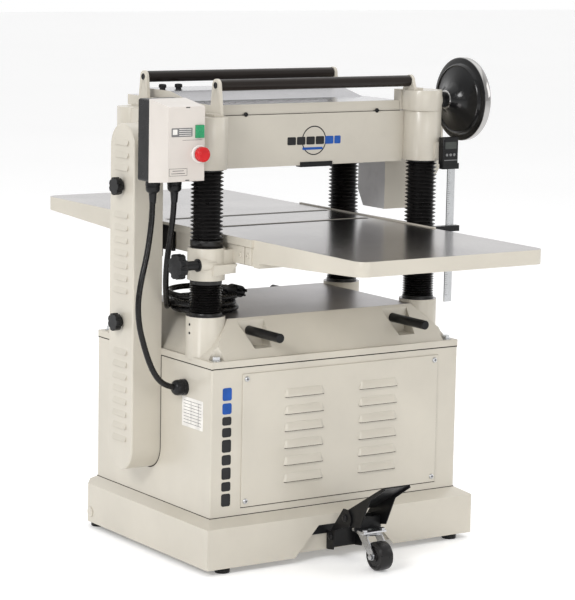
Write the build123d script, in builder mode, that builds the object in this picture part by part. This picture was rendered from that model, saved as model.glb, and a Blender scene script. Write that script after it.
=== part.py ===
"""Thickness planer on a mobile base: 20 inch table, four columns, head with cutterhead.

Frame: X along the cutterhead, Y from infeed (-) to outfeed (+), Z up. The origin is on
the floor, under the middle of the table. All lengths are millimetres.
"""

import os
from math import pi, radians, tan

from build123d import *

os.makedirs("parts", exist_ok=True)

# ---- Driving dimensions ---------------------------------------------------------------
SHEET = 2.5                     # sheet-steel thickness
FIT = 0.05                      # radial clearance of a running fit
GAP = 0.4                       # clearance between moving bodies

TABLE_TOP = 776.0               # table surface above the floor, as it stands
TABLE_HALF_WIDTH = 257.0
TABLE_HALF_LENGTH = 710.0       # with both extensions
MAIN_HALF_LENGTH = 288.0        # middle casting alone

COLUMN_X = 308.0
COLUMN_Y = 164.0
COLUMN_RADIUS = 27.0
COLUMN_BORE = 15.5
SCREW_RADIUS = 11.0
BOSS_RADIUS = 46.0
HUB_RADIUS = 44.0
BELLOWS_RADIUS = 38.5
BELLOWS_SEAT = 39.2             # recess that each bellows end is tucked into

BASE_LEFT, BASE_RIGHT = -351.0, 359.0     # cabinet and base casting
BASE_HALF_DEPTH = 264.0
PLINTH_LEFT, PLINTH_RIGHT = -378.0, 388.0
PLINTH_FRONT, PLINTH_REAR = -300.0, 288.0
PLINTH_BOTTOM, PLINTH_WALL_TOP = 14.0, 110.0
CABINET_BOTTOM, CABINET_TOP = 126.0, 476.0
FLANGE_TOP = 494.0
BASE_TOP = 580.0
BASE_BOSS_TOP = 588.0

HUB_BOTTOM, HUB_TOP = 673.0, 748.0
HEAD_BOTTOM, HEAD_TOP = 925.5, 1049.0
HEAD_BOSS_BOTTOM, HEAD_BOSS_TOP = 930.0, 1051.0
HEAD_HALF_WIDTH = 340.0
HEAD_FRONT, HEAD_REAR = -143.0, 205.0
THROAT_HALF_WIDTH = 262.0
BEAM = 23.0                     # thickness of the head's front and rear beams

CUTTER_Y, CUTTER_Z = 24.0, 963.0
CUTTER_RADIUS = 41.0
SHAFT_RADIUS = 15.0
FEED_RADIUS = 30.0
FEED_Z = 950.0
INFEED_Y, OUTFEED_Y = -62.0, 112.0
BED_ROLLER_RADIUS = 12.0
BED_ROLLER_Y = (-46.0, 133.0)
BED_ROLLER_Z = TABLE_TOP + 0.3 - BED_ROLLER_RADIUS

MOTOR_Y, MOTOR_Z = 18.0, 265.0
MOTOR_PULLEY_RADIUS = 47.0
CUTTER_PULLEY_RADIUS = 40.0
BELT_X = (-408.0, -393.0, -378.0)
BELT_WIDTH = 10.0
GROOVE_DEPTH = 8.0

GUARD_OUTER, GUARD_INNER = -430.0, -351.0
GUARD_Y = 18.0
GUARD_RADIUS = 56.0
GUARD_BOTTOM, GUARD_TOP = 199.0, 1025.0

RETURN_ROLLER_RADIUS = 13.5
RETURN_ROLLER_Y, RETURN_ROLLER_Z = 164.0, 1122.0
RETURN_ROLLER_X = (-279.5, 262.5)

WHEEL_X, WHEEL_Y, WHEEL_Z = 429.0, -164.0, 1074.0
WHEEL_RADIUS = 102.0

BOX_LEFT, BOX_RIGHT = -455.0, -359.0      # switch box
BOX_BACK, BOX_SEAM, BOX_FRONT = -98.0, -146.0, -232.0
BOX_BOTTOM, BOX_TOP = 903.0, 1092.0
GLAND_Y = -122.0
MOTOR_GLAND_X, POWER_GLAND_X = -429.0, -371.0
GLAND_BOTTOM = 876.0
CABINET_GLAND_Y, CABINET_GLAND_Z = -147.0, 419.0
LEAD_RADIUS = 7.0

LIFT_BAR_X, LIFT_BAR_Z = 208.0, 550.0
LIFT_BAR_RADIUS = 11.0
LIFT_BAR_OUT, LIFT_BAR_IN = 332.0, 120.0

CASTER_X = 6.0
SWIVEL_Y = -402.0
CASTER_TRAIL = 44.0
CASTER_RADIUS = 34.0
CASTER_Z = 35.5
PEDAL_Y, PEDAL_Z = -362.0, 113.0
CHEEK_HALF = 41.0

COIL_CENTRE = (-243.0, -44.0)
COIL_RADIUS = 74.0
COIL_Z = 596.0

CORNERS = ((-1, -1), (1, -1), (-1, 1), (1, 1))


# ---- Shared shapes --------------------------------------------------------------------
def side_plane(x):
    """Plane facing +X, with Y to the right and Z up."""
    return Plane(origin=(x, 0, 0), x_dir=(0, 1, 0), z_dir=(1, 0, 0))


def front_plane(y):
    """Plane facing -Y, with X to the right and Z up."""
    return Plane(origin=(0, y, 0), x_dir=(1, 0, 0), z_dir=(0, -1, 0))


def block(x, y, z, mode=Mode.ADD):
    """Adds a block that spans three (low, high) pairs."""
    with Locations((x[0], y[0], z[0])):
        Box(x[1] - x[0], y[1] - y[0], z[1] - z[0], align=(Align.MIN,) * 3, mode=mode)


def rod_x(x0, x1, y, z, radius, mode=Mode.ADD):
    """Adds a cylinder along X."""
    with BuildSketch(side_plane(x0)) as profile:
        with Locations((y, z)):
            Circle(radius)
    extrude(profile.sketch, amount=x1 - x0, mode=mode)


def rod_y(x, y0, y1, z, radius, mode=Mode.ADD):
    """Adds a cylinder along Y, from its rear end y1 to its front end y0."""
    with BuildSketch(front_plane(y1)) as profile:
        with Locations((x, z)):
            Circle(radius)
    extrude(profile.sketch, amount=y1 - y0, mode=mode)


def rod_z(x, y, z0, z1, radius, mode=Mode.ADD):
    """Adds an upright cylinder."""
    with BuildSketch(Plane.XY.offset(z0)) as profile:
        with Locations((x, y)):
            Circle(radius)
    extrude(profile.sketch, amount=z1 - z0, mode=mode)


def prism(plane, points, depth, mode=Mode.ADD):
    """Extrudes a polygon drawn on a plane."""
    with BuildSketch(plane) as profile:
        with BuildLine():
            Polyline(*points, close=True)
        make_face()
    extrude(profile.sketch, amount=depth, mode=mode)


def frustum(x_low, y_low, z_low, x_high, y_high, z_high, mode=Mode.ADD):
    """Adds a tapered block between two horizontal rectangles."""
    with BuildSketch(Plane.XY.offset(z_low)) as lower:
        with Locations(((x_low[0] + x_low[1]) / 2, (y_low[0] + y_low[1]) / 2)):
            Rectangle(x_low[1] - x_low[0], y_low[1] - y_low[0])
    with BuildSketch(Plane.XY.offset(z_high)) as upper:
        with Locations(((x_high[0] + x_high[1]) / 2, (y_high[0] + y_high[1]) / 2)):
            Rectangle(x_high[1] - x_high[0], y_high[1] - y_high[0])
    loft([lower.sketch.face(), upper.sketch.face()], mode=mode)


def rounded_block(x, y, z, radius, mode=Mode.ADD):
    """Adds a block with rounded upright edges."""
    with BuildSketch(Plane.XY.offset(z[0])) as outline:
        with Locations(((x[0] + x[1]) / 2, (y[0] + y[1]) / 2)):
            RectangleRounded(x[1] - x[0], y[1] - y[0], radius)
    extrude(outline.sketch, amount=z[1] - z[0], mode=mode)


def fluted_knob_x(x0, x1, y, z, radius, flutes):
    """Adds a fluted hand knob whose axis is X."""
    with BuildSketch(side_plane(x0)) as outline:
        with Locations((y, z)):
            Circle(radius)
            with PolarLocations(radius * 1.06, flutes):
                Circle(radius * 0.2, mode=Mode.SUBTRACT)
    extrude(outline.sketch, amount=x1 - x0)


def columns_at():
    """The four column centres."""
    return [(sx * COLUMN_X, sy * COLUMN_Y) for sx, sy in CORNERS]


def write(name, builder):
    """Labels a finished sub-part and writes its file."""
    builder.part.label = name
    export_step(builder.part, f"parts/{name}.step")


# ---- Mobile base and cabinet ----------------------------------------------------------
REAR_AXLE_Y, REAR_AXLE_Z = 248.0, 39.5
REAR_WHEEL_RADIUS = 36.0
REAR_WHEEL_X = ((-330.0, -300.0), (310.0, 340.0))
FEET = ((-322.0, -276.0), (340.0, -276.0), (-350.0, 258.0), (360.0, 258.0))
NOTCH = ((-136, PLINTH_BOTTOM - 2), (154, PLINTH_BOTTOM - 2), (88, 86), (-68, 86))
INNER_PLATE_Y = -288.0


def plinth_shape(inset, mode):
    """Adds the plinth's outer form, shrunk by inset on every side but the bottom."""
    left, right = PLINTH_LEFT + inset, PLINTH_RIGHT - inset
    front, rear = PLINTH_FRONT + inset, PLINTH_REAR - inset
    bottom = PLINTH_BOTTOM - inset
    with BuildPart(mode=Mode.PRIVATE) as form:
        block((left, right), (front, rear), (bottom, PLINTH_WALL_TOP))
        frustum(
            (left, right), (front, rear), PLINTH_WALL_TOP,
            (BASE_LEFT + inset, BASE_RIGHT - inset),
            (-BASE_HALF_DEPTH + inset, BASE_HALF_DEPTH - inset), CABINET_BOTTOM - inset,
        )
        cut = 26 - inset
        outline = (
            (left, front), (right, front), (right, rear - cut), (right - cut, rear),
            (left + cut, rear), (left, rear - cut),
        )
        prism(Plane.XY.offset(bottom), outline, CABINET_BOTTOM - bottom, Mode.INTERSECT)
    add(form.part, mode=mode)


with BuildPart() as plinth:
    plinth_shape(0, Mode.ADD)
    plinth_shape(SHEET, Mode.SUBTRACT)
    for foot_x, foot_y in FEET:
        wall_x = PLINTH_LEFT + SHEET if foot_x < 0 else PLINTH_RIGHT - SHEET
        block((min(wall_x, foot_x), max(wall_x, foot_x)), (foot_y - 8, foot_y + 4), (20, 24))
        rod_z(foot_x, foot_y, 20, 24, 12)
        rod_z(foot_x, foot_y, 19, 25, 6, Mode.SUBTRACT)
    prism(front_plane(PLINTH_FRONT + 5), NOTCH, 10, Mode.SUBTRACT)
    block((-160, 178), (INNER_PLATE_Y, INNER_PLATE_Y + 3), (22, PLINTH_WALL_TOP))
    for tie_x in (-160, 170):
        block((tie_x, tie_x + 8), (PLINTH_FRONT + SHEET, INNER_PLATE_Y), (22, 100))
    rod_x(PLINTH_LEFT - 5, PLINTH_RIGHT + 5, REAR_AXLE_Y, REAR_AXLE_Z, 7 + FIT, Mode.SUBTRACT)
write("plinth", plinth)

with BuildPart() as levelling_feet:
    for foot_x, foot_y in FEET:
        rod_z(foot_x, foot_y, 0, 9, 18)
        rod_z(foot_x, foot_y, 9, 13, 10)
        rod_z(foot_x, foot_y, 13, 32, 6)
    chamfer(levelling_feet.edges().group_by(Axis.Z)[0], 1.5)
write("levelling_feet", levelling_feet)

with BuildPart() as cabinet:
    rounded_block(
        (BASE_LEFT, BASE_RIGHT), (-BASE_HALF_DEPTH, BASE_HALF_DEPTH),
        (CABINET_BOTTOM, CABINET_TOP), 4,
    )
    rounded_block(
        (BASE_LEFT + SHEET, BASE_RIGHT - SHEET),
        (-BASE_HALF_DEPTH + SHEET, BASE_HALF_DEPTH - SHEET),
        (CABINET_BOTTOM + SHEET, CABINET_TOP + 1), 2, Mode.SUBTRACT,
    )
    block((-250, 280), (-BASE_HALF_DEPTH - 1, -BASE_HALF_DEPTH + 5), (162, 444), Mode.SUBTRACT)
    rod_x(BASE_LEFT - 1, BASE_LEFT + 5, MOTOR_Y, MOTOR_Z, 40, Mode.SUBTRACT)
write("cabinet", cabinet)

PANEL_X, PANEL_Z = (-267.0, 298.0), (145.5, 461.0)
PANEL_FRONT = -BASE_HALF_DEPTH - 3
LOUVRE_WIDTH, LOUVRE_PITCH = 115.0, 40.7

with BuildPart() as front_panel:
    block(PANEL_X, (PANEL_FRONT, -BASE_HALF_DEPTH), PANEL_Z)
    for row in range(6):
        for louvre_x in (-152.0, 62.0):
            low = 196.0 + row * LOUVRE_PITCH
            wedge = ((PANEL_FRONT, low), (PANEL_FRONT - 7, low), (PANEL_FRONT, low + 17))
            prism(side_plane(louvre_x), wedge, LOUVRE_WIDTH)
write("front_panel", front_panel)

PANEL_SCREWS = [(x, z) for x in (PANEL_X[0] + 11, PANEL_X[1] - 11) for z in (159, 449)]
BASE_BOLTS = ((-328.0, -246.0), (336.0, -246.0), (-328.0, 246.0), (336.0, 246.0))

with BuildPart() as fasteners:
    for screw_x, screw_z in PANEL_SCREWS:
        rod_y(screw_x, PANEL_FRONT - 3, PANEL_FRONT, screw_z, 5.5)
    for bolt_x, bolt_y in BASE_BOLTS:
        rod_z(bolt_x, bolt_y, FLANGE_TOP, FLANGE_TOP + 2, 12)
        with BuildSketch(Plane.XY.offset(FLANGE_TOP + 2)):
            with Locations((bolt_x, bolt_y)):
                RegularPolygon(9.5, 6)
        extrude(amount=8)
write("fasteners", fasteners)

# ---- Base casting, columns and screws -------------------------------------------------
CAST_WALL = 11.0
SEAM_TOP, SEAM_DEPTH = 478.5, 3.0    # shadow gap above the cabinet
TOP_X, TOP_Y = 266.0, 192.0

with BuildPart() as base_cavity:
    frustum(
        (BASE_LEFT + 12, BASE_RIGHT - 12), (-BASE_HALF_DEPTH + 12, BASE_HALF_DEPTH - 12),
        CABINET_TOP - 1, (-TOP_X + CAST_WALL, TOP_X - CAST_WALL),
        (-TOP_Y + CAST_WALL, TOP_Y - CAST_WALL), BASE_TOP - 14,
    )
    for column_x, column_y in columns_at():
        rod_z(column_x, column_y, CABINET_TOP - 2, BASE_TOP, BOSS_RADIUS - 2, Mode.SUBTRACT)
    for bar_x in (-LIFT_BAR_X, LIFT_BAR_X):
        for bar_y in ((-260, -162), (162, 260)):
            block((bar_x - 48, bar_x + 52), bar_y, (500, BASE_TOP), Mode.SUBTRACT)

with BuildPart() as base_casting:
    block((BASE_LEFT, BASE_RIGHT), (-BASE_HALF_DEPTH, BASE_HALF_DEPTH), (SEAM_TOP, FLANGE_TOP))
    block((BASE_LEFT + SEAM_DEPTH, BASE_RIGHT - SEAM_DEPTH),
          (-BASE_HALF_DEPTH + SEAM_DEPTH, BASE_HALF_DEPTH - SEAM_DEPTH), (CABINET_TOP, SEAM_TOP))
    frustum(
        (BASE_LEFT + 9, BASE_RIGHT - 9), (-BASE_HALF_DEPTH + 9, BASE_HALF_DEPTH - 9),
        FLANGE_TOP, (-TOP_X, TOP_X), (-TOP_Y, TOP_Y), BASE_TOP,
    )
    for column_x, column_y in columns_at():
        rod_z(column_x, column_y, FLANGE_TOP - 6, BASE_BOSS_TOP, BOSS_RADIUS)
    add(base_cavity.part, mode=Mode.SUBTRACT)
    for bar_x in (-LIFT_BAR_X, LIFT_BAR_X):
        for side in (-1, 1):
            near, far = sorted((side * 197, side * 270))
            pocket = ((bar_x - 38, BASE_TOP + 2), (bar_x + 42, BASE_TOP + 2),
                      (bar_x + 36, 513), (bar_x - 10, 513))
            prism(front_plane(far), pocket, far - near, Mode.SUBTRACT)
            rod_y(bar_x, min(0, side * 300), max(0, side * 300), LIFT_BAR_Z,
                  LIFT_BAR_RADIUS + FIT, Mode.SUBTRACT)
    for bolt_x, bolt_y in BASE_BOLTS:
        rod_z(bolt_x, bolt_y, FLANGE_TOP, FLANGE_TOP + 40, 17, Mode.SUBTRACT)
    for column_x, column_y in columns_at():
        rod_z(column_x, column_y, 520, BASE_BOSS_TOP + 1, COLUMN_RADIUS, Mode.SUBTRACT)
        rod_z(column_x, column_y, 574, BASE_BOSS_TOP + 1, BELLOWS_SEAT, Mode.SUBTRACT)
write("base_casting", base_casting)

COLUMN_TOP = 1045.0
with BuildPart() as columns:
    for column_x, column_y in columns_at():
        inward = -1 if column_x > 0 else 1
        rod_z(column_x, column_y, 520, COLUMN_TOP, COLUMN_RADIUS)
        rod_z(column_x, column_y, 530, COLUMN_TOP + 1, COLUMN_BORE, Mode.SUBTRACT)
        slot = sorted((column_x, column_x + inward * (COLUMN_RADIUS + 2)))
        block(slot, (column_y - 6, column_y + 6), (640, 870), Mode.SUBTRACT)
write("columns", columns)

NUT_Z = (700.0, 726.0)
for number, (column_x, column_y) in enumerate(columns_at(), start=1):
    with BuildPart() as leadscrew:
        rod_z(column_x, column_y, 560, COLUMN_TOP - 2, SCREW_RADIUS)
        rod_z(column_x, column_y, 1000, 1008, COLUMN_BORE - FIT)
        if column_x > 0 and column_y < 0:
            rod_z(column_x, column_y, COLUMN_TOP - 2, 1053, SCREW_RADIUS)
            rod_z(column_x, column_y, 1053, 1061, 18)
    write(f"leadscrew_{number}", leadscrew)

with BuildPart() as table_nuts:
    for column_x, column_y in columns_at():
        inward = -1 if column_x > 0 else 1
        rod_z(column_x, column_y, *NUT_Z, COLUMN_BORE - 0.3)
        key = sorted((column_x, column_x + inward * 34))
        block(key, (column_y - 5.5, column_y + 5.5), NUT_Z)
        rod_z(column_x, column_y, NUT_Z[0] - 1, NUT_Z[1] + 1, SCREW_RADIUS + FIT, Mode.SUBTRACT)
write("table_nuts", table_nuts)


def bellows(low, high):
    """Four plain sleeves that stand for the pleated rubber bellows."""
    for x, y in columns_at():
        rod_z(x, y, low, high, BELLOWS_RADIUS)
        rod_z(x, y, low - 1, high + 1, BELLOWS_RADIUS - 8, Mode.SUBTRACT)


with BuildPart() as lower_bellows:
    bellows(576, HUB_BOTTOM + 12)
write("lower_bellows", lower_bellows)

with BuildPart() as upper_bellows:
    bellows(HUB_TOP - 12, HEAD_BOSS_BOTTOM + 12)
write("upper_bellows", upper_bellows)

# ---- Table ----------------------------------------------------------------------------
LOCK_Y, LOCK_Z = -197.0, 711.7

with BuildPart() as table:
    width, length = TABLE_HALF_WIDTH, MAIN_HALF_LENGTH
    block((-width, width), (-length, length), (714, TABLE_TOP))
    for rib_start, rib_end in ((-278, -86), (-76, -16), (-6, 103), (163, 278)):
        block((-width + 10, width - 10), (rib_start, rib_end), (713, 758), Mode.SUBTRACT)
    block((-width + 10, width - 10), (113, 153), (713, 758), Mode.SUBTRACT)
    for rail, rail_top in (((-width - 7, -width), TABLE_TOP), ((width, width + 7), TABLE_TOP + 3)):
        block(rail, (-length, length), (758, rail_top))
    for column_x, column_y in columns_at():
        web = sorted((column_x, (width - 8) * (1 if column_x > 0 else -1)))
        block(web, (column_y - 36, column_y + 36), (688, HUB_TOP - 4))
        rod_z(column_x, column_y, HUB_BOTTOM, HUB_TOP, HUB_RADIUS)
    rod_x(-349, -COLUMN_X, LOCK_Y, LOCK_Z, 14)
    ear = ((-318, 686), (-274, 690), (-258, 703), (-253, 711), (-318, 711))
    prism(front_plane(-186), ear, 28)
    for column_x, column_y in columns_at():
        inward = -1 if column_x > 0 else 1
        rod_z(column_x, column_y, HUB_BOTTOM - 1, HUB_TOP + 1, COLUMN_RADIUS + FIT, Mode.SUBTRACT)
        rod_z(column_x, column_y, HUB_BOTTOM - 1, HUB_BOTTOM + 14, BELLOWS_SEAT, Mode.SUBTRACT)
        rod_z(column_x, column_y, HUB_TOP - 14, HUB_TOP + 1, BELLOWS_SEAT, Mode.SUBTRACT)
        key = sorted((column_x, column_x + inward * 34))
        block(key, (column_y - 5.5, column_y + 5.5), NUT_Z, Mode.SUBTRACT)
    rod_x(-351, -310, LOCK_Y, LOCK_Z, 5.5 + FIT, Mode.SUBTRACT)
    for roller_y in BED_ROLLER_Y:
        opening = (roller_y - BED_ROLLER_RADIUS - GAP, roller_y + BED_ROLLER_RADIUS + GAP)
        block((-236, 236), opening, (713, TABLE_TOP + 1), Mode.SUBTRACT)
        rod_x(-251, 251, roller_y, BED_ROLLER_Z, 6 + FIT, Mode.SUBTRACT)
write("table", table)


def extension(side):
    """One table extension; side is -1 for infeed and 1 for outfeed."""
    inner, outer = side * MAIN_HALF_LENGTH, side * TABLE_HALF_LENGTH
    middle = (inner + outer) / 2
    with BuildSketch(Plane.XY.offset(712)) as outline:
        with Locations((0, middle)):
            Rectangle(2 * TABLE_HALF_WIDTH, abs(outer - inner))
        far = outline.vertices().sort_by(Axis.Y)[:2] if side < 0 else outline.vertices().sort_by(
            Axis.Y)[-2:]
        fillet(far, 28)
    extrude(outline.sketch, amount=TABLE_TOP - 712)
    flange = side * (MAIN_HALF_LENGTH + 22)
    under = ((flange, 724), (side * 720, 743), (side * 720, 700), (flange, 700))
    prism(side_plane(-300), under, 600, Mode.SUBTRACT)
    ends = [flange, side * 420, side * 560, side * (TABLE_HALF_LENGTH - 12)]
    for start, end in zip(ends, ends[1:]):
        pocket = sorted((start + side * (0 if start == flange else 8), end))
        half = TABLE_HALF_WIDTH - (10 if abs(end) < 600 else 32)
        block((-half, half), pocket, (700, 762), Mode.SUBTRACT)


with BuildPart() as infeed_extension:
    extension(-1)
write("infeed_extension", infeed_extension)

with BuildPart() as outfeed_extension:
    extension(1)
write("outfeed_extension", outfeed_extension)

for name, roller_y in zip(("infeed_bed_roller", "outfeed_bed_roller"), BED_ROLLER_Y):
    with BuildPart() as bed_roller:
        rod_x(-234, 234, roller_y, BED_ROLLER_Z, BED_ROLLER_RADIUS)
        rod_x(-250, 250, roller_y, BED_ROLLER_Z, 6)
    write(name, bed_roller)

with BuildPart() as lock_knob:
    fluted_knob_x(-413, -394, LOCK_Y, LOCK_Z, 29.5, 8)
    rod_x(-394, -354, LOCK_Y, LOCK_Z, 11)
    rod_x(-354, -349 - GAP, LOCK_Y, LOCK_Z, 15)
    rod_x(-349 - GAP, -312, LOCK_Y, LOCK_Z, 5.5)
write("lock_knob", lock_knob)

# ---- Height scale ---------------------------------------------------------------------
BAR_X, BAR_Y, BAR_Z = (342.5, 364.5), (-226.5, -223.5), (583.0, 975.0)
CLIP_Z = (757.0, 771.0)

with BuildPart() as scale_bar:
    block(BAR_X, BAR_Y, BAR_Z)
write("scale_bar", scale_bar)

with BuildPart() as scale_bracket:
    block((TABLE_HALF_WIDTH + 7, 378), (-233, -217), CLIP_Z)
    block(BAR_X, BAR_Y, (CLIP_Z[0] - 1, CLIP_Z[1] + 1), Mode.SUBTRACT)
write("scale_bracket", scale_bracket)

READOUT_PAD_Y = -213.0
with BuildPart() as readout_housing:
    rounded_block((322, 368), (-233.5, READOUT_PAD_Y), (922, 987), 3)
    block((324, 372), (-232, -216), (910, 924))
    slide = [BAR_X[0] - GAP, BAR_X[1] + GAP], [BAR_Y[0] - GAP, BAR_Y[1] + GAP]
    block(*slide, (900, 1000), Mode.SUBTRACT)
write("readout_housing", readout_housing)

# ---- Head -----------------------------------------------------------------------------
NOTCH_X, NOTCH_Y = 277.0, (-57.0, 59.0)
SHAFT_BORE = SHAFT_RADIUS + FIT
STUB_RADIUS = 10.0

with BuildPart() as head_casting:
    rounded_block(
        (-HEAD_HALF_WIDTH, HEAD_HALF_WIDTH), (HEAD_FRONT, HEAD_REAR), (HEAD_BOTTOM, HEAD_TOP), 6,
    )
    for column_x, column_y in columns_at():
        rod_z(column_x, column_y, HEAD_BOSS_BOTTOM, HEAD_BOSS_TOP, BOSS_RADIUS)
        rod_z(column_x, column_y, HEAD_BOTTOM - 1, HEAD_BOSS_BOTTOM, BOSS_RADIUS + 4, Mode.SUBTRACT)
    block((312, 340), (READOUT_PAD_Y, -190), (935, 975))
    block((-430, -HEAD_HALF_WIDTH + 2), (BOX_BACK, BOX_BACK + 12), (965, 1030))
    block((-THROAT_HALF_WIDTH, THROAT_HALF_WIDTH), (HEAD_FRONT + BEAM, HEAD_REAR - BEAM),
          (HEAD_BOTTOM - 1, HEAD_TOP + 1), Mode.SUBTRACT)
    block((NOTCH_X, HEAD_HALF_WIDTH + 10), NOTCH_Y, (HEAD_BOTTOM - 10, HEAD_TOP + 1), Mode.SUBTRACT)
    block((-328, -290), (-84, 84), (HEAD_BOTTOM - 1, HEAD_TOP - 12), Mode.SUBTRACT)
    rod_x(-350, 300, CUTTER_Y, CUTTER_Z, SHAFT_BORE, Mode.SUBTRACT)
    for feed_y in (INFEED_Y, OUTFEED_Y):
        rod_x(-282, 275.5, feed_y, FEED_Z, STUB_RADIUS + FIT, Mode.SUBTRACT)
    for column_x, column_y in columns_at():
        rod_z(column_x, column_y, HEAD_BOSS_BOTTOM - 1, COLUMN_TOP, COLUMN_RADIUS, Mode.SUBTRACT)
        rod_z(column_x, column_y, HEAD_BOSS_BOTTOM - 1, HEAD_BOSS_BOTTOM + 14,
              BELLOWS_SEAT, Mode.SUBTRACT)
    rod_z(COLUMN_X, -COLUMN_Y, COLUMN_TOP - 1, HEAD_BOSS_TOP + 1, SCREW_RADIUS + FIT,
          Mode.SUBTRACT)
write("head_casting", head_casting)

GEARBOX_TOP = 1100.0
with BuildPart() as gear_housing:
    rounded_block((259, 350), (-212, -116), (HEAD_BOSS_TOP, GEARBOX_TOP), 40)
    block((255.6, 300), (HEAD_FRONT, -116), (HEAD_BOSS_TOP, GEARBOX_TOP))
    rod_x(330, 352, WHEEL_Y, WHEEL_Z, 22)
    rod_z(COLUMN_X, -COLUMN_Y, HEAD_BOSS_TOP - 1, GEARBOX_TOP - 10, 30, Mode.SUBTRACT)
    rod_x(COLUMN_X, 353, WHEEL_Y, WHEEL_Z, 10 + FIT, Mode.SUBTRACT)
write("gear_housing", gear_housing)

HOOD_LEFT, HOOD_RIGHT = -280.5, 255.0
HOOD_FRONT, HOOD_REAR = -140.0, 252.0
HOOD_TOP, RAISED_TOP = 1074.0, 1092.0
PORT_RADIUS, PORT_Z = 62.5, 1006.0
PORT_END = 310.0

with BuildPart() as dust_hood:
    block((HOOD_LEFT, HOOD_RIGHT), (HOOD_FRONT, HOOD_REAR), (HEAD_TOP, HOOD_TOP))
    raised = ((-6, HOOD_TOP), (80, RAISED_TOP), (216, RAISED_TOP), (230, HOOD_TOP))
    prism(side_plane(-262), raised, 502)
    block((-150, 150), (HEAD_REAR + 0.5, HOOD_REAR), (940, HEAD_TOP))
    rod_y(0, HOOD_REAR - 1, PORT_END, PORT_Z, PORT_RADIUS)
    block((HOOD_LEFT + 3, HOOD_RIGHT - 3), (HOOD_FRONT + 3, HEAD_REAR - 3),
          (HEAD_TOP - 1, HOOD_TOP - 3), Mode.SUBTRACT)
    block((-147, 147), (190, HOOD_REAR - 3), (943, HOOD_TOP - 3), Mode.SUBTRACT)
    inner_raised = ((2, HOOD_TOP - 4), (82, RAISED_TOP - 3), (214, RAISED_TOP - 3),
                    (226, HOOD_TOP - 4))
    prism(side_plane(-259), inner_raised, 496, Mode.SUBTRACT)
    rod_y(0, HOOD_REAR - 12, PORT_END + 1, PORT_Z, PORT_RADIUS - 2.5, Mode.SUBTRACT)
    for column_y in (-COLUMN_Y, COLUMN_Y):
        rod_z(-COLUMN_X, column_y, HEAD_TOP - 1, HEAD_BOSS_TOP + GAP, BOSS_RADIUS + GAP,
              Mode.SUBTRACT)
write("dust_hood", dust_hood)

BRACKET = 8.0
BRACKET_LEFT, BRACKET_RIGHT = -289.0, 264.0       # low-X face of each upright
with BuildPart() as roller_brackets:
    for side_x, side_y in CORNERS:
        foot = GEARBOX_TOP if (side_x, side_y) == (1, -1) else HEAD_BOSS_TOP
        start = BRACKET_RIGHT if side_x > 0 else BRACKET_LEFT
        middle = side_y * RETURN_ROLLER_Y
        top = RETURN_ROLLER_Z
        upright = ((middle - 24, foot), (middle + 24, foot), (middle + 15, top), (middle - 15, top))
        prism(side_plane(start), upright, BRACKET)
        rod_x(start, start + BRACKET, middle, top, 15)
        foot_x = (start, start + 26) if side_x > 0 else (start + BRACKET - 26, start + BRACKET)
        block(foot_x, (middle - 24, middle + 24), (foot, foot + 6))
        rod_x(start - 1, start + BRACKET + 1, middle, top, 5 + FIT, Mode.SUBTRACT)
write("roller_brackets", roller_brackets)

for name, side_y in (("front_return_roller", -1), ("rear_return_roller", 1)):
    with BuildPart() as return_roller:
        middle = side_y * RETURN_ROLLER_Y
        rod_x(*RETURN_ROLLER_X, middle, RETURN_ROLLER_Z, RETURN_ROLLER_RADIUS)
        rod_x(RETURN_ROLLER_X[0] - 9, RETURN_ROLLER_X[1] + 9, middle, RETURN_ROLLER_Z, 5)
    write(name, return_roller)

LIMITER_X = (-36.0, 55.0)
with BuildPart() as depth_limiter:
    block(LIMITER_X, (HEAD_FRONT - 4, HEAD_FRONT + 17), (HEAD_BOTTOM - 4, HEAD_BOTTOM))
    block(LIMITER_X, (HEAD_FRONT - 4, HEAD_FRONT), (HEAD_BOTTOM - 4, HEAD_BOTTOM + 8))
write("depth_limiter", depth_limiter)

COVER_TOP = 1040.0
with BuildPart() as chain_cover:
    outline = ((277.5, 797), (392, 797), (430, 866), (455, 905), (455, COVER_TOP),
               (277.5, COVER_TOP))
    prism(front_plane(58), outline, 114)
    corner = ((34, 796), (60, 796), (60, 840))
    prism(side_plane(270), corner, 200, Mode.SUBTRACT)
    inner = ((280.5, 800), (390, 800), (427, 868), (452, 906), (452, COVER_TOP - 3),
             (280.5, COVER_TOP - 3))
    with BuildPart(mode=Mode.PRIVATE) as cover_inside:
        prism(front_plane(55), inner, 108)
        inner_corner = ((31, 799), (60, 799), (60, 846))
        prism(side_plane(270), inner_corner, 200, Mode.SUBTRACT)
    add(cover_inside.part, mode=Mode.SUBTRACT)
    rod_x(270, 285, CUTTER_Y, CUTTER_Z, SHAFT_RADIUS + 2, Mode.SUBTRACT)
write("chain_cover", chain_cover)

# ---- Cutterhead, feed rollers and drive -----------------------------------------------
PULLEY_X = (-415.0, -371.0)


def grooved_pulley(y, z, radius):
    """Adds a three-groove V-belt pulley."""
    rod_x(*PULLEY_X, y, z, radius)
    for x in BELT_X:
        with BuildPart(mode=Mode.PRIVATE) as groove:
            rod_x(x - BELT_WIDTH / 2 - 0.5, x + BELT_WIDTH / 2 + 0.5, y, z, radius + 1)
            rod_x(x - BELT_WIDTH, x + BELT_WIDTH, y, z, radius - GROOVE_DEPTH, Mode.SUBTRACT)
        add(groove.part, mode=Mode.SUBTRACT)


with BuildPart() as cutterhead:
    rod_x(-254, 254, CUTTER_Y, CUTTER_Z, CUTTER_RADIUS)
    rod_x(-418, 300, CUTTER_Y, CUTTER_Z, SHAFT_RADIUS)
    grooved_pulley(CUTTER_Y, CUTTER_Z, CUTTER_PULLEY_RADIUS)
write("cutterhead", cutterhead)

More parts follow.
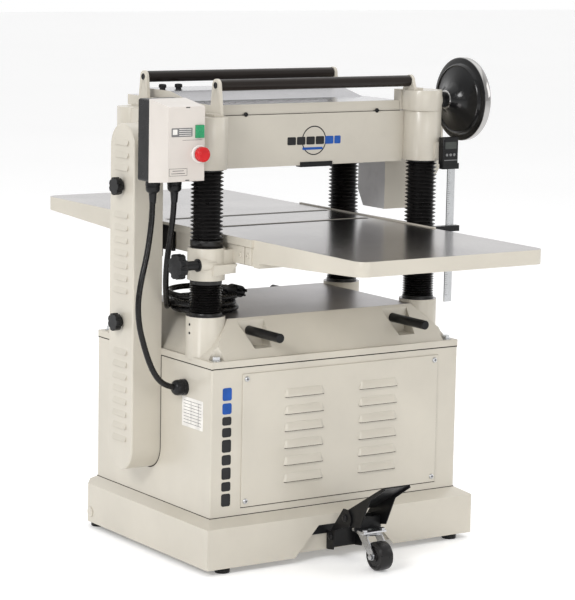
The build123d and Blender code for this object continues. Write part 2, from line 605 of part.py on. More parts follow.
for name, feed_y in (("infeed_roller", INFEED_Y), ("outfeed_roller", OUTFEED_Y)):
    with BuildPart() as feed_roller:
        rod_x(-256, 256, feed_y, FEED_Z, FEED_RADIUS)
        rod_x(-281, 275, feed_y, FEED_Z, STUB_RADIUS)
    write(name, feed_roller)

with BuildPart() as motor:
    rod_x(BASE_LEFT + SHEET, -343, MOTOR_Y, MOTOR_Z, 105)
    rod_x(-343, -120, MOTOR_Y, MOTOR_Z, 84)
    for fin in range(9):
        rod_x(-320 + fin * 16, -312 + fin * 16, MOTOR_Y, MOTOR_Z, 90)
    rod_x(-180, -118, MOTOR_Y, MOTOR_Z, 91)
    block((-300, -210), (MOTOR_Y - 35, MOTOR_Y + 35), (MOTOR_Z + 80, MOTOR_Z + 118))
    rod_x(-352, -200, MOTOR_Y, MOTOR_Z, 14 + FIT, Mode.SUBTRACT)
write("motor", motor)

with BuildPart() as motor_pulley:
    rod_x(-418, -205, MOTOR_Y, MOTOR_Z, 14)
    grooved_pulley(MOTOR_Y, MOTOR_Z, MOTOR_PULLEY_RADIUS)
write("motor_pulley", motor_pulley)


def belt_outline(x, extra):
    """Hull round both pulleys' groove bottoms, grown by extra."""
    with BuildSketch(side_plane(x)) as loop:
        with Locations((MOTOR_Y, MOTOR_Z)):
            Circle(MOTOR_PULLEY_RADIUS - GROOVE_DEPTH + extra)
        with Locations((CUTTER_Y, CUTTER_Z)):
            Circle(CUTTER_PULLEY_RADIUS - GROOVE_DEPTH + extra)
        make_hull()
    return loop.sketch


with BuildPart() as drive_belts:
    for belt_x in BELT_X:
        start = belt_x - BELT_WIDTH / 2
        extrude(belt_outline(start, 8.0), amount=BELT_WIDTH)
        extrude(belt_outline(start - 1, 0.3), amount=BELT_WIDTH + 2, mode=Mode.SUBTRACT)
write("drive_belts", drive_belts)


def guard_outline(x, radius):
    """Round-ended outline of the belt guard."""
    low, high = GUARD_BOTTOM + GUARD_RADIUS, GUARD_TOP - GUARD_RADIUS
    with BuildSketch(side_plane(x)) as outline:
        with Locations((GUARD_Y, low), (GUARD_Y, high)):
            Circle(radius)
        make_hull()
    return outline.sketch


UPPER_KNOB_Z, LOWER_KNOB_Z = 878.0, 556.0
GUARD_LOUVRES = [(915, 3), (625, 7), (270, 8)]

with BuildPart() as belt_guard:
    extrude(guard_outline(GUARD_OUTER, GUARD_RADIUS), amount=GUARD_INNER - GUARD_OUTER)
    fillet(belt_guard.faces().sort_by(Axis.X)[0].edges(), 4)
    extrude(guard_outline(GUARD_OUTER + 2, GUARD_RADIUS - 2),
            amount=GUARD_INNER - GUARD_OUTER - 4, mode=Mode.SUBTRACT)
    for first, count in GUARD_LOUVRES:
        for row in range(count):
            low = first + row * 29.8
            wedge = ((GUARD_OUTER, low), (GUARD_OUTER - 5, low), (GUARD_OUTER, low + 13))
            prism(front_plane(48), wedge, 60)
    for knob_z in (UPPER_KNOB_Z, LOWER_KNOB_Z):
        rod_x(GUARD_OUTER - 1, GUARD_OUTER + 5, GUARD_Y, knob_z, 5 + FIT, Mode.SUBTRACT)
    rod_x(GUARD_INNER - 5, GUARD_INNER + 1, MOTOR_Y, MOTOR_Z, 30, Mode.SUBTRACT)
    rod_x(GUARD_INNER - 5, GUARD_INNER + 1, CUTTER_Y, CUTTER_Z, 22, Mode.SUBTRACT)
write("belt_guard", belt_guard)

for name, knob_z in (("upper_guard_knob", UPPER_KNOB_Z), ("lower_guard_knob", LOWER_KNOB_Z)):
    with BuildPart() as guard_knob:
        fluted_knob_x(-453, -438, GUARD_Y, knob_z, 21.0, 7)
        rod_x(-438, -430.4, GUARD_Y, knob_z, 12)
        rod_x(-430.4, -420, GUARD_Y, knob_z, 5)
    write(name, guard_knob)

# ---- Handwheel ------------------------------------------------------------------------
GRIP_Y, GRIP_Z = WHEEL_Y + 74, WHEEL_Z - 34

with BuildPart() as handwheel:
    with BuildSketch(Plane(origin=(0, WHEEL_Y, WHEEL_Z), x_dir=(1, 0, 0), z_dir=(0, -1, 0))):
        with BuildLine():
            dish = Polyline((376, 0), (376, 24), (398, 24), (408, 40), (418, 84), (418, 97),
                            (424, 102), (434, 102), (440, 96), (440, 86), (432, 82),
                            (424, 84), (415, 36), (408, 20), (408, 0), (376, 0))
        make_face()
    revolve(axis=Axis((0, WHEEL_Y, WHEEL_Z), (1, 0, 0)))
    rod_x(333, 377, WHEEL_Y, WHEEL_Z, 10)
    rod_x(355, 377, WHEEL_Y, WHEEL_Z, 19)
    rod_x(326, 334, WHEEL_Y, WHEEL_Z, 11.5)
    rod_x(430, 445, GRIP_Y, GRIP_Z, 9)
    rod_x(440, 474, GRIP_Y, GRIP_Z, 5)
write("handwheel", handwheel)

with BuildPart() as handwheel_grip:
    rod_x(445.5, 475, GRIP_Y, GRIP_Z, 12)
    chamfer(handwheel_grip.edges(), 3)
    rod_x(440, 474 + GAP, GRIP_Y, GRIP_Z, 5 + FIT, Mode.SUBTRACT)
write("handwheel_grip", handwheel_grip)

# ---- Switch box and leads -------------------------------------------------------------
START_X, START_Z = (-384.0, -362.6), (1009.5, 1038.5)
STOP_X, STOP_Z = -374.0, 973.0

with BuildPart() as switch_box_base:
    block((BOX_LEFT, BOX_RIGHT), (BOX_SEAM, BOX_BACK), (BOX_BOTTOM, BOX_TOP))
    fillet(switch_box_base.edges().filter_by(Axis.Y), 6)
    block((BOX_LEFT + 3, BOX_RIGHT - 3), (BOX_SEAM - 1, BOX_BACK - 3),
          (BOX_BOTTOM + 3, BOX_TOP - 3), Mode.SUBTRACT)
write("switch_box_base", switch_box_base)

with BuildPart() as switch_box_cover:
    profile = ((BOX_SEAM, BOX_BOTTOM - 1), (BOX_FRONT, 911), (BOX_FRONT, 1081),
               (BOX_SEAM, BOX_TOP + 2))
    prism(side_plane(BOX_LEFT), profile, BOX_RIGHT - BOX_LEFT)
    fillet(switch_box_cover.edges().filter_by(Axis.X).sort_by(Axis.Y)[:2], 3)
    hollow = ((BOX_SEAM + 1, BOX_BOTTOM + 2), (BOX_FRONT + 3, 914), (BOX_FRONT + 3, 1078),
              (BOX_SEAM + 1, BOX_TOP - 1))
    prism(side_plane(BOX_LEFT + 3), hollow, BOX_RIGHT - BOX_LEFT - 6, Mode.SUBTRACT)
    block((START_X[0] - GAP, START_X[1] + GAP), (BOX_FRONT - 1, BOX_FRONT + 5),
          (START_Z[0] - GAP, START_Z[1] + GAP), Mode.SUBTRACT)
    rod_y(STOP_X, BOX_FRONT - 4, BOX_FRONT + 1, STOP_Z, 15)
    rod_y(STOP_X, BOX_FRONT - 5, BOX_FRONT + 5, STOP_Z, 8 + FIT, Mode.SUBTRACT)
write("switch_box_cover", switch_box_cover)

with BuildPart() as start_button:
    block(START_X, (BOX_FRONT - 5, BOX_FRONT + 12), START_Z)
write("start_button", start_button)

with BuildPart() as stop_button:
    rod_y(STOP_X, BOX_FRONT - 13, BOX_FRONT + 14, STOP_Z, 8)
    rod_y(STOP_X, BOX_FRONT - 25, BOX_FRONT - 11, STOP_Z, 17.5)
    fillet(stop_button.faces().sort_by(Axis.Y)[0].edges(), 6)
write("stop_button", stop_button)

with BuildPart() as cable_glands:
    for gland_x in (MOTOR_GLAND_X, POWER_GLAND_X):
        rod_z(gland_x, GLAND_Y, 884, BOX_BOTTOM, 17)
        rod_z(gland_x, GLAND_Y, GLAND_BOTTOM, 884, 13)
    rod_x(-372, BASE_LEFT, CABINET_GLAND_Y, CABINET_GLAND_Z, 19)
    rod_x(-384, -372, CABINET_GLAND_Y, CABINET_GLAND_Z, 14)
write("cable_glands", cable_glands)


def corner_radii(route):
    """One bend radius for each corner: 0.45 of the shorter run over tan of half the turn."""
    radii = []
    for before, corner, after in zip(route, route[1:], route[2:]):
        arriving = Vector(*corner) - Vector(*before)
        leaving = Vector(*after) - Vector(*corner)
        turn = radians(arriving.get_angle(leaving))
        radii.append(0.45 * min(arriving.length, leaving.length) / tan(turn / 2))
    return radii


def lead(name, route, radius):
    """A round lead along straight runs joined by tangent arcs."""
    radii = corner_radii(route)
    with BuildPart() as cable:
        with BuildLine() as path:
            FilletPolyline(*route, radius=radii)
        track = path.wires()[0]
        with BuildSketch(Plane(origin=track @ 0, z_dir=track % 0)):
            Circle(radius)
        sweep(path=track)
    expected = track.length * pi * radius**2
    print(name, "radii", [round(r) for r in radii])
    print(name, "length", round(track.length), "volume ratio", cable.part.volume / expected)
    write(name, cable)


MOTOR_LEAD = (
    (MOTOR_GLAND_X, GLAND_Y, GLAND_BOTTOM + 4), (-430, -123, 830), (-438, -127, 778),
    (-450, -132, 726), (-466, -136, 675), (-476, -139, 623), (-473, -141, 570),
    (-459, -142, 520), (-437, -144, 476), (-409, -146, 440), (-379, -147, 422),
)
POWER_LEAD = (
    (POWER_GLAND_X, GLAND_Y, GLAND_BOTTOM + 4), (-370, -119, 837), (-372, -114, 793),
    (-376, -109, 749), (-381, -105, 706), (-382, -104, 664), (-366.6, -88.4, 626),
    (-340, -61.4, 604), (-309.3, -30.3, 604),
)
lead("motor_lead", MOTOR_LEAD, LEAD_RADIUS)
lead("power_lead", POWER_LEAD, LEAD_RADIUS)

with BuildPart() as power_lead_coil:
    with BuildSketch(Plane(origin=(*COIL_CENTRE, COIL_Z), x_dir=(1, 0, 0), z_dir=(0, -1, 0))):
        with Locations((COIL_RADIUS, 0)):
            Ellipse(17, 14.5)
    revolve(axis=Axis((*COIL_CENTRE, 0), (0, 0, 1)))
write("power_lead_coil", power_lead_coil)

PLUG_X, PLUG_Z = -168.0, 625.2      # lying along Y on the coil's right-hand side
PLUG_REAR, PLUG_FACE = -28.0, -96.0

with BuildPart() as power_plug:
    rod_y(PLUG_X, PLUG_FACE, PLUG_FACE + 40, PLUG_Z, 14)
    rod_y(PLUG_X, PLUG_FACE + 38, PLUG_REAR, PLUG_Z, 8.5)
    for blade_x in (PLUG_X - 6.5, PLUG_X + 6.5):
        block((blade_x - 0.8, blade_x + 0.8), (PLUG_FACE - 18, PLUG_FACE + 1),
              (PLUG_Z + 0.5, PLUG_Z + 7))
    rod_y(PLUG_X, PLUG_FACE - 20, PLUG_FACE + 1, PLUG_Z - 6.5, 2.4)
write("power_plug", power_plug)

# ---- Lifting bars ---------------------------------------------------------------------
for name, side_x, side_y in (
    ("front_left_lifting_bar", -1, -1), ("front_right_lifting_bar", 1, -1),
    ("rear_left_lifting_bar", -1, 1), ("rear_right_lifting_bar", 1, 1),
):
    with BuildPart() as lifting_bar:
        ends = sorted((side_y * LIFT_BAR_IN, side_y * LIFT_BAR_OUT))
        rod_y(side_x * LIFT_BAR_X, *ends, LIFT_BAR_Z, LIFT_BAR_RADIUS)
        chamfer(lifting_bar.edges().filter_by(GeomType.CIRCLE), 1.5)
    write(name, lifting_bar)

# ---- Front caster and pedal -----------------------------------------------------------
CHEEK = (
    (-290, 22), (-316, 26), (-320, 74), (-352, 86), (-378, 94), (-386, 108), (-384, 122),
    (-374, 134), (-354, 134), (-304, 70), (-290, 68),
)
LEVER = (
    (-350, 93), (-350, 124), (-372, 136), (-505, 214), (-509, 207), (-452, 171), (-418, 101),
    (-389, 95),
)
PIN_RADIUS = 5.0

with BuildPart() as caster_bracket:
    for side in (-1, 1):
        start = CASTER_X + side * CHEEK_HALF - 1.5
        prism(side_plane(start), CHEEK, 3)
    block((CASTER_X - 42.5, CASTER_X + 43), (INNER_PLATE_Y - 3, INNER_PLATE_Y), (24, 84))
    block((CASTER_X - 106, CASTER_X - 42.5), (INNER_PLATE_Y - 3, INNER_PLATE_Y), (62, 86))
    rod_x(CASTER_X - CHEEK_HALF - 5, CASTER_X + CHEEK_HALF + 5, PEDAL_Y, PEDAL_Z, PIN_RADIUS)
    for side in (-1, 1):
        stud = sorted((CASTER_X + side * CHEEK_HALF, CASTER_X + side * (CHEEK_HALF + 5)))
        rod_x(*stud, -306, 56, PIN_RADIUS)
write("caster_bracket", caster_bracket)

PLATE_BOTTOM, PLATE_TOP = 86.0, 89.5
with BuildPart() as pedal:
    half = CHEEK_HALF - 3
    prism(side_plane(CASTER_X - half), LEVER, 2 * half)
    inside = ((-300, 80), (-300, 119.5), (-371, 132), (-503.5, 210), (-520, 214), (-520, 80))
    prism(side_plane(CASTER_X - half + 3), inside, 2 * half - 6, Mode.SUBTRACT)
    block((CASTER_X - half, CASTER_X + half), (-396, -393), (PLATE_BOTTOM, 118))
    block((CASTER_X - 32, CASTER_X + 32), (SWIVEL_Y - 25, SWIVEL_Y + 25), (PLATE_BOTTOM, PLATE_TOP))
    rod_x(CASTER_X - 60, CASTER_X + 60, PEDAL_Y, PEDAL_Z, PIN_RADIUS + FIT, Mode.SUBTRACT)
    rod_z(CASTER_X, SWIVEL_Y, 80, 100, 5 + FIT, Mode.SUBTRACT)
write("pedal", pedal)

AXLE_Y = SWIVEL_Y - CASTER_TRAIL
LEG = ((SWIVEL_Y + 16, 81), (SWIVEL_Y - 20, 81), (AXLE_Y - 9, CASTER_Z + 4),
       (AXLE_Y - 7, CASTER_Z - 6), (AXLE_Y + 2, CASTER_Z - 9), (AXLE_Y + 10, CASTER_Z - 3))
with BuildPart() as caster_fork:
    rod_z(CASTER_X, SWIVEL_Y, 80, PLATE_BOTTOM - GAP, 22)
    rod_z(CASTER_X, SWIVEL_Y, 80, 91, 5)
    block((CASTER_X - 23, CASTER_X + 23), (SWIVEL_Y - 20, SWIVEL_Y + 16), (78, 81))
    for side in (-1, 1):
        start = CASTER_X + (20.0 if side > 0 else -23.0)
        prism(side_plane(start), LEG, 3)
    rod_x(CASTER_X - 27, CASTER_X + 27, AXLE_Y, CASTER_Z, 4)
    for side in (-1, 1):
        nut = sorted((CASTER_X + side * 23, CASTER_X + side * 28))
        rod_x(*nut, AXLE_Y, CASTER_Z, 7)
write("caster_fork", caster_fork)

with BuildPart() as caster_wheel:
    rod_x(CASTER_X - 18, CASTER_X + 18, AXLE_Y, CASTER_Z, CASTER_RADIUS)
    fillet(caster_wheel.edges().filter_by(GeomType.CIRCLE), 5)
    rod_x(CASTER_X - 19, CASTER_X + 19, AXLE_Y, CASTER_Z, 4 + FIT, Mode.SUBTRACT)
write("caster_wheel", caster_wheel)

with BuildPart() as rear_wheels:
    rod_x(PLINTH_LEFT - 2, PLINTH_RIGHT + 2, REAR_AXLE_Y, REAR_AXLE_Z, 7)
    for wheel_x in REAR_WHEEL_X:
        rod_x(*wheel_x, REAR_AXLE_Y, REAR_AXLE_Z, REAR_WHEEL_RADIUS)
write("rear_wheels", rear_wheels)
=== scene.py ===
"""Visual model of the thickness planer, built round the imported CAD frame."""

import math

import bmesh
import bpy
from mathutils import Matrix, Vector


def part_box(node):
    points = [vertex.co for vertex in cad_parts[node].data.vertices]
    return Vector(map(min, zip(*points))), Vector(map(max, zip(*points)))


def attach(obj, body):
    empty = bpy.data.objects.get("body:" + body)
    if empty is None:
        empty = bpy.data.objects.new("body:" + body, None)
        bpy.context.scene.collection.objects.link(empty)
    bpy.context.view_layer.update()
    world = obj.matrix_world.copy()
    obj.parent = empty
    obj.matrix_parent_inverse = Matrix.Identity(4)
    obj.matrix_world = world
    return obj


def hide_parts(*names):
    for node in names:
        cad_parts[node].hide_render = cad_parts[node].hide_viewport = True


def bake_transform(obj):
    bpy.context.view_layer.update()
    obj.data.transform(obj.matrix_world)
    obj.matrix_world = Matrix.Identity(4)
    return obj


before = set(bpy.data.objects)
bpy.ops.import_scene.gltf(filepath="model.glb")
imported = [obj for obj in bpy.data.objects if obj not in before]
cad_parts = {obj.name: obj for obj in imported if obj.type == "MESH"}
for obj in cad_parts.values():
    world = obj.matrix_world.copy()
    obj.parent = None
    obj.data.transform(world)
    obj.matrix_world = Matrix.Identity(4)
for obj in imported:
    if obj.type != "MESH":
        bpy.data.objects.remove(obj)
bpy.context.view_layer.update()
MM = 0.001

# ---- Camera ---------------------------------------------------------------------------
CAMERA_PLACE = Vector((-3.33719, -5.01014, 1.49933))
CAMERA_YAW, CAMERA_PITCH, CAMERA_ROLL = -33.92, -8.68, 1.11
CAMERA_LENS, CAMERA_SENSOR = 148.97, 36.0


def add_camera():
    yaw, pitch, roll = (math.radians(a) for a in (CAMERA_YAW, CAMERA_PITCH, CAMERA_ROLL))
    forward = Vector((-math.sin(yaw) * math.cos(pitch), math.cos(yaw) * math.cos(pitch),
                      math.sin(pitch)))
    level = Vector((math.cos(yaw), math.sin(yaw), 0))
    above = level.cross(forward)
    right = math.cos(roll) * level + math.sin(roll) * above
    up = -math.sin(roll) * level + math.cos(roll) * above
    data = bpy.data.cameras.new("camera")
    data.sensor_fit = "VERTICAL"
    data.sensor_height = CAMERA_SENSOR
    data.lens = CAMERA_LENS
    data.clip_end = 50
    camera = bpy.data.objects.new("camera", data)
    bpy.context.scene.collection.objects.link(camera)
    turn = Matrix((right, up, -forward)).transposed()
    camera.matrix_world = Matrix.Translation(CAMERA_PLACE) @ turn.to_4x4()
    bpy.context.scene.camera = camera


add_camera()


# ---- Materials ------------------------------------------------------------------------
# Sockets of the mix node, for colours and for single values.
COLOUR_A, COLOUR_B, COLOUR_RESULT = 6, 7, 2
VALUE_A, VALUE_B, VALUE_RESULT = 2, 3, 0


class Nodes:
    """A short way to build a node material."""

    def __init__(self, name):
        self.material = bpy.data.materials.new(name)
        self.material.use_nodes = True
        self.tree = self.material.node_tree
        self.shader = self.tree.nodes["Principled BSDF"]
        self.place = self.add("ShaderNodeTexCoord").outputs["Object"]

    def add(self, kind, **settings):
        node = self.tree.nodes.new(kind)
        for key, value in settings.items():
            if key in node.inputs:
                node.inputs[key].default_value = value
            else:
                setattr(node, key, value)
        return node

    def link(self, source, target):
        self.tree.links.new(source, target)
        return target

    def noise(self, scale, detail=3.0, stretch=None, roughness=0.5):
        texture = self.add("ShaderNodeTexNoise", Scale=scale, Detail=detail, Roughness=roughness)
        source = self.place
        if stretch:
            mapping = self.add("ShaderNodeMapping", Scale=stretch)
            self.link(source, mapping.inputs["Vector"])
            source = mapping.outputs["Vector"]
        self.link(source, texture.inputs["Vector"])
        return texture.outputs["Fac"]

    def ramp(self, source, low, high, stops=(0.3, 0.7)):
        ramp = self.add("ShaderNodeValToRGB")
        ramp.color_ramp.elements[0].position = stops[0]
        ramp.color_ramp.elements[1].position = stops[1]
        ramp.color_ramp.elements[0].color = colour(low)
        ramp.color_ramp.elements[1].color = colour(high)
        self.link(source, ramp.inputs["Fac"])
        return ramp.outputs["Color"]

    def span(self, source, low, high, start=0.3, stop=0.7):
        node = self.add("ShaderNodeMapRange")
        for key, value in (("From Min", start), ("From Max", stop), ("To Min", low),
                           ("To Max", high)):
            node.inputs[key].default_value = value
        self.link(source, node.inputs["Value"])
        return node.outputs["Result"]

    def bump(self, source, strength, distance, under=None):
        node = self.add("ShaderNodeBump", Strength=strength, Distance=distance)
        self.link(source, node.inputs["Height"])
        if under:
            self.link(under, node.inputs["Normal"])
        return node.outputs["Normal"]

    def mix(self, amount, first, second):
        node = self.add("ShaderNodeMix", data_type="RGBA")
        self.link(amount, node.inputs["Factor"])
        for source, place in ((first, COLOUR_A), (second, COLOUR_B)):
            if isinstance(source, tuple):
                node.inputs[place].default_value = colour(source)
            else:
                self.link(source, node.inputs[place])
        return node.outputs[COLOUR_RESULT]


def colour(value):
    """Adds full opacity to a colour."""
    return (*value, 1.0)


def shade(base, share):
    return tuple(c * share for c in base)


def painted(name, base, rough=(0.28, 0.4), grain=0.04, grain_scale=900, wear=0.5):
    """Enamel over metal: slight mottling, grime and orange peel."""
    n = Nodes(name)
    tone = n.ramp(n.noise(scale=7, detail=4), shade(base, 0.93), base, stops=(0.35, 0.65))
    grime = n.span(n.noise(scale=38, detail=6, roughness=0.7), low=0.0, high=0.10 * wear,
                   start=0.52, stop=0.8)
    tone = n.mix(grime, tone, shade(base, 0.55))
    n.link(tone, n.shader.inputs["Base Color"])
    n.link(n.span(n.noise(scale=55, detail=4), *rough), n.shader.inputs["Roughness"])
    n.shader.inputs["Coat Weight"].default_value = 0.25
    n.shader.inputs["Coat Roughness"].default_value = 0.12
    peel = n.bump(n.noise(grain_scale, detail=2), strength=grain, distance=0.0006)
    waves = n.bump(n.noise(scale=26, detail=2), strength=0.03, distance=0.002, under=peel)
    n.link(waves, n.shader.inputs["Normal"])
    return n.material


def metal(name, base, rough=(0.2, 0.34), stretch=(1, 1, 1), grain_scale=500, grain=0.12):
    """Bare metal with tool marks along one direction."""
    n = Nodes(name)
    tone = n.ramp(n.noise(scale=12, detail=5), shade(base, 0.86), base)
    n.link(tone, n.shader.inputs["Base Color"])
    n.shader.inputs["Metallic"].default_value = 1.0
    marks = n.noise(grain_scale, detail=3, stretch=stretch)
    n.link(n.span(marks, *rough), n.shader.inputs["Roughness"])
    n.link(n.bump(marks, strength=grain, distance=0.0004), n.shader.inputs["Normal"])
    return n.material


def dull(name, base, rough=(0.45, 0.62), grain=0.25, grain_scale=1400, dust=0.06):
    """Rubber, print or textured plastic with a little dust."""
    n = Nodes(name)
    pale = tuple(min(1, c * 1.35 + 0.004) for c in base)
    tone = n.ramp(n.noise(scale=30, detail=4), base, pale)
    specks = n.span(n.noise(scale=140, detail=5, roughness=0.7), low=0.0, high=dust,
                    start=0.55, stop=0.8)
    tone = n.mix(specks, tone, (0.35, 0.33, 0.3))
    n.link(tone, n.shader.inputs["Base Color"])
    n.link(n.span(n.noise(scale=80, detail=3), *rough), n.shader.inputs["Roughness"])
    fine = n.bump(n.noise(grain_scale, detail=2), strength=grain, distance=0.0003)
    n.link(fine, n.shader.inputs["Normal"])
    return n.material


CREAM = (0.545, 0.508, 0.435)

# Levels in metres above which the bare faces of a painted part begin.
GROUND_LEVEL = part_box("infeed_extension")[1][2] - 0.0025
BASE_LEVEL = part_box("base_casting")[1][2] - 0.011
HOOD_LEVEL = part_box("dust_hood")[0][2] + 0.012
FACING_LIMIT, PAINT_ROUGHNESS = 0.7, 0.36


def part_bare(name, axis, towards, level, bare, rough=(0.14, 0.26), bare_metal=1.0):
    """Cream paint, with the faces that look one way above a level left bare."""
    n = Nodes(name)
    paint = n.ramp(n.noise(scale=7, detail=4), shade(CREAM, 0.93), CREAM, stops=(0.35, 0.65))
    normal = n.add("ShaderNodeSeparateXYZ")
    n.link(n.add("ShaderNodeNewGeometry").outputs["True Normal"], normal.inputs["Vector"])
    height = n.add("ShaderNodeSeparateXYZ")
    n.link(n.place, height.inputs["Vector"])
    facing = n.add("ShaderNodeMath", operation="GREATER_THAN" if towards > 0 else "LESS_THAN")
    n.link(normal.outputs[axis], facing.inputs[0])
    facing.inputs[1].default_value = FACING_LIMIT * towards
    above = n.add("ShaderNodeMath", operation="GREATER_THAN")
    n.link(height.outputs["Z"], above.inputs[0])
    above.inputs[1].default_value = level
    mask = n.add("ShaderNodeMath", operation="MULTIPLY")
    n.link(facing.outputs[0], mask.inputs[0])
    n.link(above.outputs[0], mask.inputs[1])
    iron = n.ramp(n.noise(scale=5, detail=5), shade(bare, 0.78), bare)
    stain = n.span(n.noise(scale=16, detail=7, roughness=0.75), low=0, high=0.35,
                   start=0.55, stop=0.75)
    iron = n.mix(stain, iron, shade(bare, 0.55))
    n.link(n.mix(mask.outputs[0], paint, iron), n.shader.inputs["Base Color"])
    shine = n.add("ShaderNodeMath", operation="MULTIPLY")
    n.link(mask.outputs[0], shine.inputs[0])
    shine.inputs[1].default_value = bare_metal
    n.link(shine.outputs[0], n.shader.inputs["Metallic"])
    scratches = n.noise(scale=60, detail=4, stretch=(3, 90, 3))
    blend = n.add("ShaderNodeMix", data_type="FLOAT")
    n.link(mask.outputs[0], blend.inputs["Factor"])
    blend.inputs[VALUE_A].default_value = PAINT_ROUGHNESS
    n.link(n.span(scratches, *rough), blend.inputs[VALUE_B])
    n.link(blend.outputs[VALUE_RESULT], n.shader.inputs["Roughness"])
    n.link(n.bump(scratches, strength=0.05, distance=0.0003), n.shader.inputs["Normal"])
    return n.material


def less_shine(material, level, coat=0.0):
    """Sets a material's reflection and clear coat, so that dark colours stay deep."""
    shader = material.node_tree.nodes["Principled BSDF"]
    shader.inputs["Specular IOR Level"].default_value = level
    shader.inputs["Coat Weight"].default_value = coat
    return material


PRINT_ROUGH, PRINT_GRAIN = (0.35, 0.5), 0.03
M = {
    "cream": painted("cream_sheet_paint", CREAM),
    "cream_cast": painted("cream_cast_paint", CREAM, rough=(0.3, 0.45), grain=0.22,
                          grain_scale=520, wear=0.9),
    "ground": part_bare("ground_table", "Z", towards=1, level=GROUND_LEVEL,
                        bare=(0.41, 0.388, 0.384)),
    "base": part_bare("base_casting_paint", "Z", towards=1, level=BASE_LEVEL,
                      bare=(0.46, 0.44, 0.45), rough=(0.26, 0.42), bare_metal=0.85),
    "hood": part_bare("hood_paint", "Z", towards=1, level=HOOD_LEVEL,
                      bare=(0.44, 0.435, 0.45), rough=(0.12, 0.22), bare_metal=0.9),
    "chain": part_bare("chain_cover_paint", "X", towards=-1, level=0.0,
                       bare=(0.62, 0.61, 0.61), rough=(0.4, 0.6), bare_metal=0.35),
    "black": less_shine(painted("black_enamel", (0.008, 0.008, 0.0085), rough=(0.28, 0.42),
                                grain=0.12, grain_scale=700, wear=0.2), level=0.2, coat=0.03),
    "gloss_black": less_shine(painted("wheel_enamel", (0.004, 0.004, 0.0045),
                                      rough=(0.16, 0.24), grain=0.9, grain_scale=240,
                                      wear=0.1), level=0.2, coat=0.3),
    "brown": less_shine(painted("roller_paint", (0.012, 0.008, 0.006), rough=(0.3, 0.42),
                                grain=0.05, grain_scale=600, wear=0.2), level=0.25, coat=0.02),
    "steel": metal("turned_steel", (0.60, 0.61, 0.62)),
    "dark_steel": metal("bed_roller_steel", (0.11, 0.105, 0.1), rough=(0.32, 0.46),
                        stretch=(1, 60, 1)),
    "chrome": metal("polished_rim", (0.44, 0.43, 0.42), rough=(0.06, 0.14), grain_scale=300,
                    grain=0.03),
    "zinc": metal("zinc_plate", (0.58, 0.585, 0.6), rough=(0.22, 0.4), grain_scale=260,
                  grain=0.08),
    "rubber": less_shine(dull("bellows_rubber", (0.004, 0.0035, 0.0035), rough=(0.25, 0.4),
                              grain=0.1, grain_scale=900, dust=0.01), level=0.35),
    "plastic": less_shine(dull("black_plastic", (0.006, 0.006, 0.0065), rough=(0.25, 0.4),
                               grain=0.2, grain_scale=1500, dust=0.01), level=0.22),
    "cord": less_shine(dull("cord_sheath", (0.004, 0.0035, 0.0035), rough=(0.2, 0.32),
                            grain=0.12, grain_scale=1200, dust=0.0), level=0.24),
    "cover": painted("switch_cover", (0.60, 0.555, 0.51), rough=(0.3, 0.42), grain=0.06,
                     grain_scale=1500, wear=0.3),
    "grey_sheet": painted("grey_sheet", (0.42, 0.43, 0.44), rough=(0.22, 0.34), grain=0.05,
                          grain_scale=700, wear=0.6),
    "green": dull("green_button", (0.01, 0.22, 0.085), rough=(0.22, 0.32), grain=0.08,
                  grain_scale=900, dust=0.0),
    "red": less_shine(dull("red_button", (0.42, 0.008, 0.01), rough=(0.2, 0.3), grain=0.05,
                           grain_scale=900, dust=0.0), level=0.3),
    "motor": painted("motor_paint", (0.03, 0.033, 0.036), rough=(0.35, 0.5), grain=0.2,
                     grain_scale=500, wear=0.6),
    "wheel": less_shine(dull("caster_polymer", (0.008, 0.0075, 0.0075), rough=(0.25, 0.42),
                             grain=0.1, grain_scale=700, dust=0.02), level=0.24),
    # Flat dark colour laid in gaps and openings: painted shade.
    "shadow": less_shine(dull("painted_gap_shade", (0.012, 0.01, 0.008), rough=(0.6, 0.8), grain=0.1,
                              grain_scale=700, dust=0.0), level=0.1),
    "ink": less_shine(dull("black_print", (0.008, 0.008, 0.009), rough=PRINT_ROUGH,
                           grain=PRINT_GRAIN, grain_scale=900, dust=0.0), level=0.3),
    "blue": less_shine(dull("blue_print", (0.004, 0.06, 0.28), rough=PRINT_ROUGH,
                            grain=PRINT_GRAIN, grain_scale=900, dust=0.0), level=0.3),
    "paper": dull("pale_print", (0.62, 0.60, 0.57), rough=PRINT_ROUGH, grain=PRINT_GRAIN,
                  grain_scale=900, dust=0.02),
    "grey_label": dull("grey_print", (0.13, 0.13, 0.13), rough=PRINT_ROUGH, grain=PRINT_GRAIN,
                       grain_scale=900, dust=0.02),
    "screen": less_shine(dull("screen_glass", (0.03, 0.034, 0.03), rough=(0.1, 0.16),
                              grain=0.02, grain_scale=400, dust=0.0), level=0.5),
}

